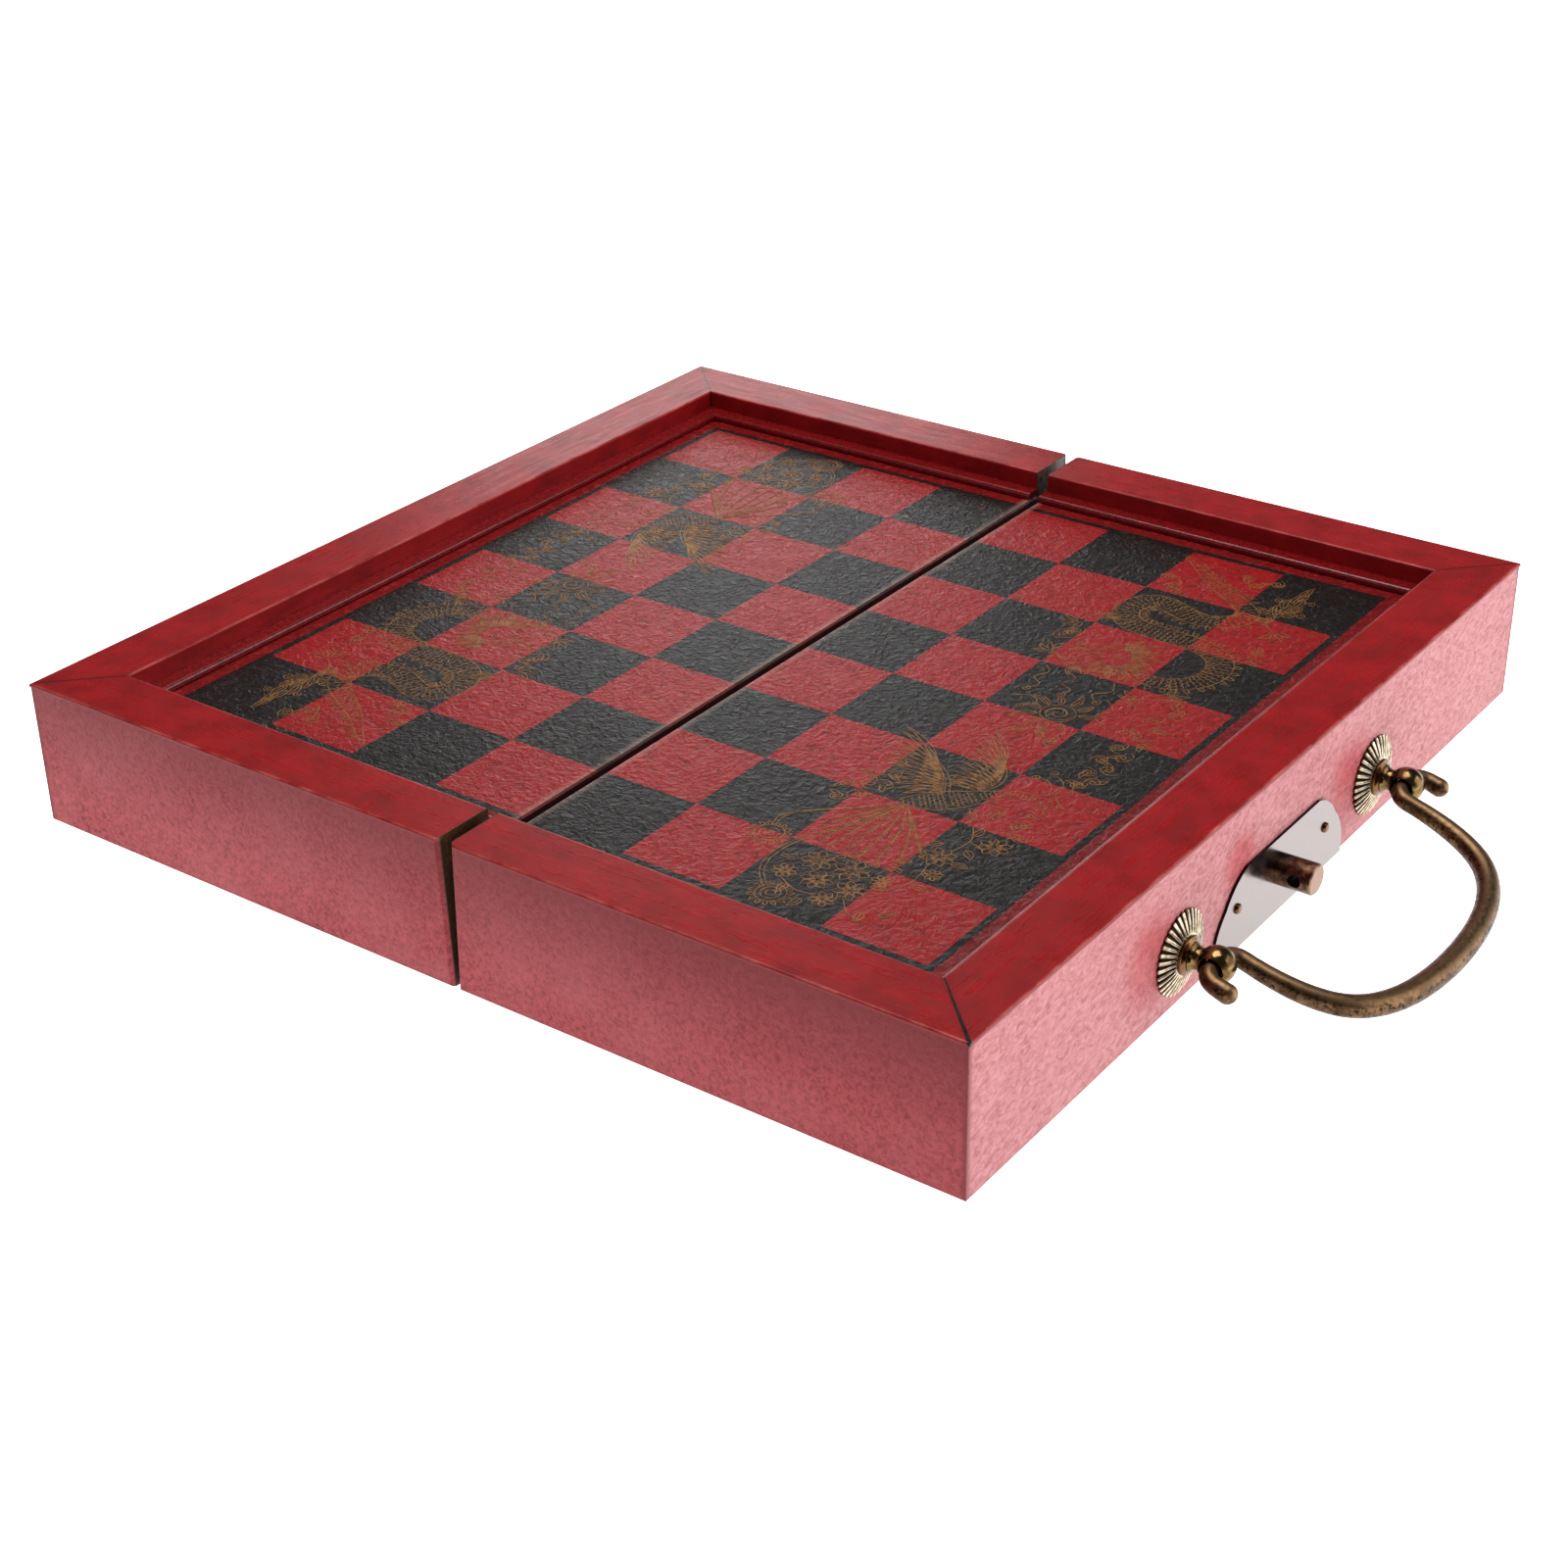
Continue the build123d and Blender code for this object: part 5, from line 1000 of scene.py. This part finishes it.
def bail_line():
    """The wire's centreline as (Y, depth) pairs and its radius, from one tail's tip to the other:
    straight tail, quarter bend, through the eye, quarter bend, and the grip's curve."""
    foot = WIRE_BEND + 2.0
    half = [(share * LEG_Y, deep * GRIP_DEPTH) for share, deep in GRIP_KNOTS] + [(LEG_Y, foot)]
    knots = [(-y, d) for y, d in half[::-1]] + half[1:]
    grip = through(knots, (0, 1), (0, -1), 181)
    turn = np.radians(np.linspace(0, 90, 13))[:, None]
    straight = np.linspace(foot, WIRE_BEND, 5)[1:-1, None]
    leg = np.concatenate([LEG_Y + 0 * straight, straight], 1)
    out, down = WIRE_BEND * (1 - np.cos(turn)), WIRE_BEND * (1 - np.sin(turn))
    inner = np.concatenate([LEG_Y + out, down], 1)
    across = np.linspace(LEG_Y + WIRE_BEND, TAIL_Y - WIRE_BEND, 9)[1:-1, None]
    eye = np.concatenate([across, 0 * across], 1)
    outer = np.concatenate([TAIL_Y - down, out], 1)
    tail = np.linspace(WIRE_BEND, TAIL_LENGTH, 7)[1:, None]
    tail = np.concatenate([TAIL_Y + 0 * tail, tail], 1)
    dome = np.radians(np.linspace(0, 88, 9))[1:, None]
    tip = np.concatenate([TAIL_Y + 0 * dome, TAIL_LENGTH + TIP_RADIUS * np.sin(dome)], 1)
    neck = np.concatenate([leg, inner, eye, outer, tail, tip])
    share = np.abs(np.linspace(-1, 1, len(grip)))
    body = WIRE_THIN + (WIRE_THICK - WIRE_THIN) * (1 - share**2.2)
    swell = np.clip((neck[:, 1] - 2.0) / 4.0, 0, 1) * (neck[:, 0] > TAIL_Y - 0.1)
    radius = WIRE_THIN + (TIP_RADIUS - WIRE_THIN) * swell
    radius[-len(dome):] = TIP_RADIUS * np.cos(dome[:, 0])
    line = np.concatenate([(neck * (-1, 1))[::-1], grip, neck])
    return line, np.concatenate([radius[::-1], body, radius])


def wire_shell():
    """Circles of the wire's radius across its centreline, in the drooping plane's own axes: the
    plane's normal, and the line's tangent turned a quarter within the plane."""
    line, radius = bail_line()
    tangent = np.gradient(line, axis=0)
    tangent /= np.linalg.norm(tangent, axis=1)[:, None]
    t = np.linspace(0, 2 * np.pi, WIRE_SIDES, endpoint=False)[None, :]
    droop = radians(DROOP)
    outwards, up = np.array([cos(droop), 0, -sin(droop)]), np.array([sin(droop), 0, cos(droop)])
    across = np.array([0, 1.0, 0])
    centre = np.array([OUTER_X + EYE_REACH, 0, EYE_Z]) + line[:, :1] * across + line[:, 1:] * outwards
    sideways = tangent[:, 1:] * across - tangent[:, :1] * outwards
    ring = np.cos(t)[..., None] * sideways[:, None] + np.sin(t)[..., None] * up
    return centre[:, None] + radius[:, None, None] * ring


# bronze wire, browned and wiped: dark specks in a worn brown, palest along the top of the wire and its
# grip, with wear and a painted highlight
bronze_wire, place = blank("rubbed_dark_bronze_wire")
m = bronze_wire
facing = add(m, "Attribute", attribute_name="top")["Fac"]
fleck = add(m, "TexNoise", {"Vector": place, "Scale": 1 / FLECK, "Detail": 4.0, "Roughness": 0.7})[0]
blotch = add(m, "TexNoise", {"Vector": place, "Scale": 1 / BLOTCH, "Detail": 3.0})[0]
tone = add(m, "MapRange", {0: blotch, 1: 0.36, 2: 0.66})[0]
colour = add(m, "Mix", {0: tone, 6: srgb(WIRE_DARK), 7: srgb(WIRE_BROWN)}, data_type="RGBA")[2]
speck = add(m, "MapRange", {0: fleck, 1: 0.5, 2: 0.6})[0]
colour = add(m, "Mix", {0: speck, 6: colour, 7: srgb(WIRE_SPECK)}, data_type="RGBA")[2]
# painted highlight: the top of the wire is painted paler, over its wear
rubbed_and_highlight = add(m, "MapRange", {0: facing, 1: 0.6, 2: 0.98, 3: 0.0, 4: 1.1})[0]
rubbed_and_highlight = add(m, "Math", {0: rubbed_and_highlight, 1: fleck}, operation="MULTIPLY")[0]
colour = add(m, "Mix", {0: rubbed_and_highlight, 6: colour, 7: srgb(WIRE_RUBBED_HIGHLIGHT)}, data_type="RGBA")[2]
relief = add(m, "Bump", {"Strength": 1.0, "Distance": FLECK_RELIEF, "Height": fleck})[0]
add(m, "OutputMaterial", {0: add(m, "BsdfPrincipled", {
    "Base Color": colour, "Metallic": 1.0, "Normal": relief,
    "Roughness": add(m, "MapRange", {0: fleck, 1: 0.3, 2: 0.7, 3: 0.3, 4: 0.55})[0]})[0]})

shell = wire_shell()
bail = make_piece("bail_wire", [(shell, False)], bronze_wire, "bail")
rings, around = shell.shape[:2]
height = np.tile(np.sin(np.linspace(0, 2 * np.pi, around, endpoint=False)), rings)
mark(bail, "top", np.concatenate([height, [0, 0]]))
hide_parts("bail_handle")

# ---------------------------------------------------------------------------------------------
# The studio: a pale table that glows like a light table, which is why the photograph has no
# shadow, a white wall low behind, dark above it, and three softboxes. The table lies under the
# tray that swings below the other one, so that the case's folded state shows too.
TABLE_Z, TABLE_HALF = -0.042, 3.0  # m
WHITE, OFF_WHITE, TABLE_MOTTLE = "ffffff", "f4f4f4", 1000 / 30  # and mm
TABLE_GLOW, RIGHT_GLOW = 1.2, 3.4  # of the table, and of its part to the right of the case
GLOW_FROM, GLOW_TO = 200.0, 700.0  # mm along X, where the first glow passes into the second
LOW_GLOW, HIGH_GLOW = 0.9, 0.05  # of the surroundings at the horizon and overhead
LOW_LIFT, HIGH_LIFT = 0.06, 0.26  # sine of the height above the horizon where each of them ends
SOFTBOXES = [  # name, place, size and power: m and W
    ("overhead", (-0.10, 0.10, 1.2), 0.8, 12.0),
    ("right", (1.05, 0.55, 0.40), 0.9, 6.0),
    ("left_behind", (-0.83, 1.04, 0.47), 0.4, 1.2),
]

pale_table, place = blank("pale_glowing_table")
m = pale_table
grain = add(m, "TexNoise", {"Vector": place, "Scale": 1 / TABLE_MOTTLE})[0]
tone = add(m, "Mix", {0: grain, 6: srgb(OFF_WHITE), 7: srgb(WHITE)}, data_type="RGBA")[2]
right = add(m, "SeparateXYZ", {0: place})["X"]
glow = add(m, "MapRange", {0: right, 1: GLOW_FROM, 2: GLOW_TO, 3: TABLE_GLOW, 4: RIGHT_GLOW})[0]
add(m, "OutputMaterial", {0: add(m, "BsdfPrincipled", {
    "Base Color": tone, "Roughness": 0.8,
    "Emission Color": srgb(WHITE), "Emission Strength": glow})[0]})
side = np.linspace(-TABLE_HALF, TABLE_HALF, 3)
x, y = np.meshgrid(side, side)
top = np.stack([x, y, np.full_like(x, TABLE_Z)], -1).reshape(-1, 3)
corner = np.array([[0, 1, 4, 3], [1, 2, 5, 4], [3, 4, 7, 6], [4, 5, 8, 7]])
table_mesh = bpy.data.meshes.new("table")
table_mesh.from_pydata(top, [], corner.tolist())
table_mesh.materials.append(pale_table)
table = bpy.data.objects.new("table", table_mesh)
bpy.context.scene.collection.objects.link(table)

world = bpy.data.worlds.new("studio")
world.use_nodes = True
world.node_tree.nodes.clear()
bpy.context.scene.world = world
lift = add(world, "SeparateXYZ", {0: add(world, "TexCoord")["Generated"]})["Z"]
glow = add(world, "MapRange", {0: lift, 1: LOW_LIFT, 2: HIGH_LIFT, 3: LOW_GLOW, 4: HIGH_GLOW})[0]
backdrop = add(world, "Background", {"Color": srgb(WHITE), "Strength": glow})[0]
add(world, "OutputWorld", {0: backdrop})

for name, at, size, power in SOFTBOXES:
    lamp = bpy.data.objects.new(name + "_softbox", bpy.data.lights.new(name + "_softbox", "AREA"))
    lamp.data.size, lamp.data.energy = size, power
    lamp.location = at
    lamp.rotation_euler = (-lamp.location).to_track_quat("-Z", "Y").to_euler()
    bpy.context.scene.collection.objects.link(lamp)

bpy.context.scene.view_settings.view_transform = "Standard"
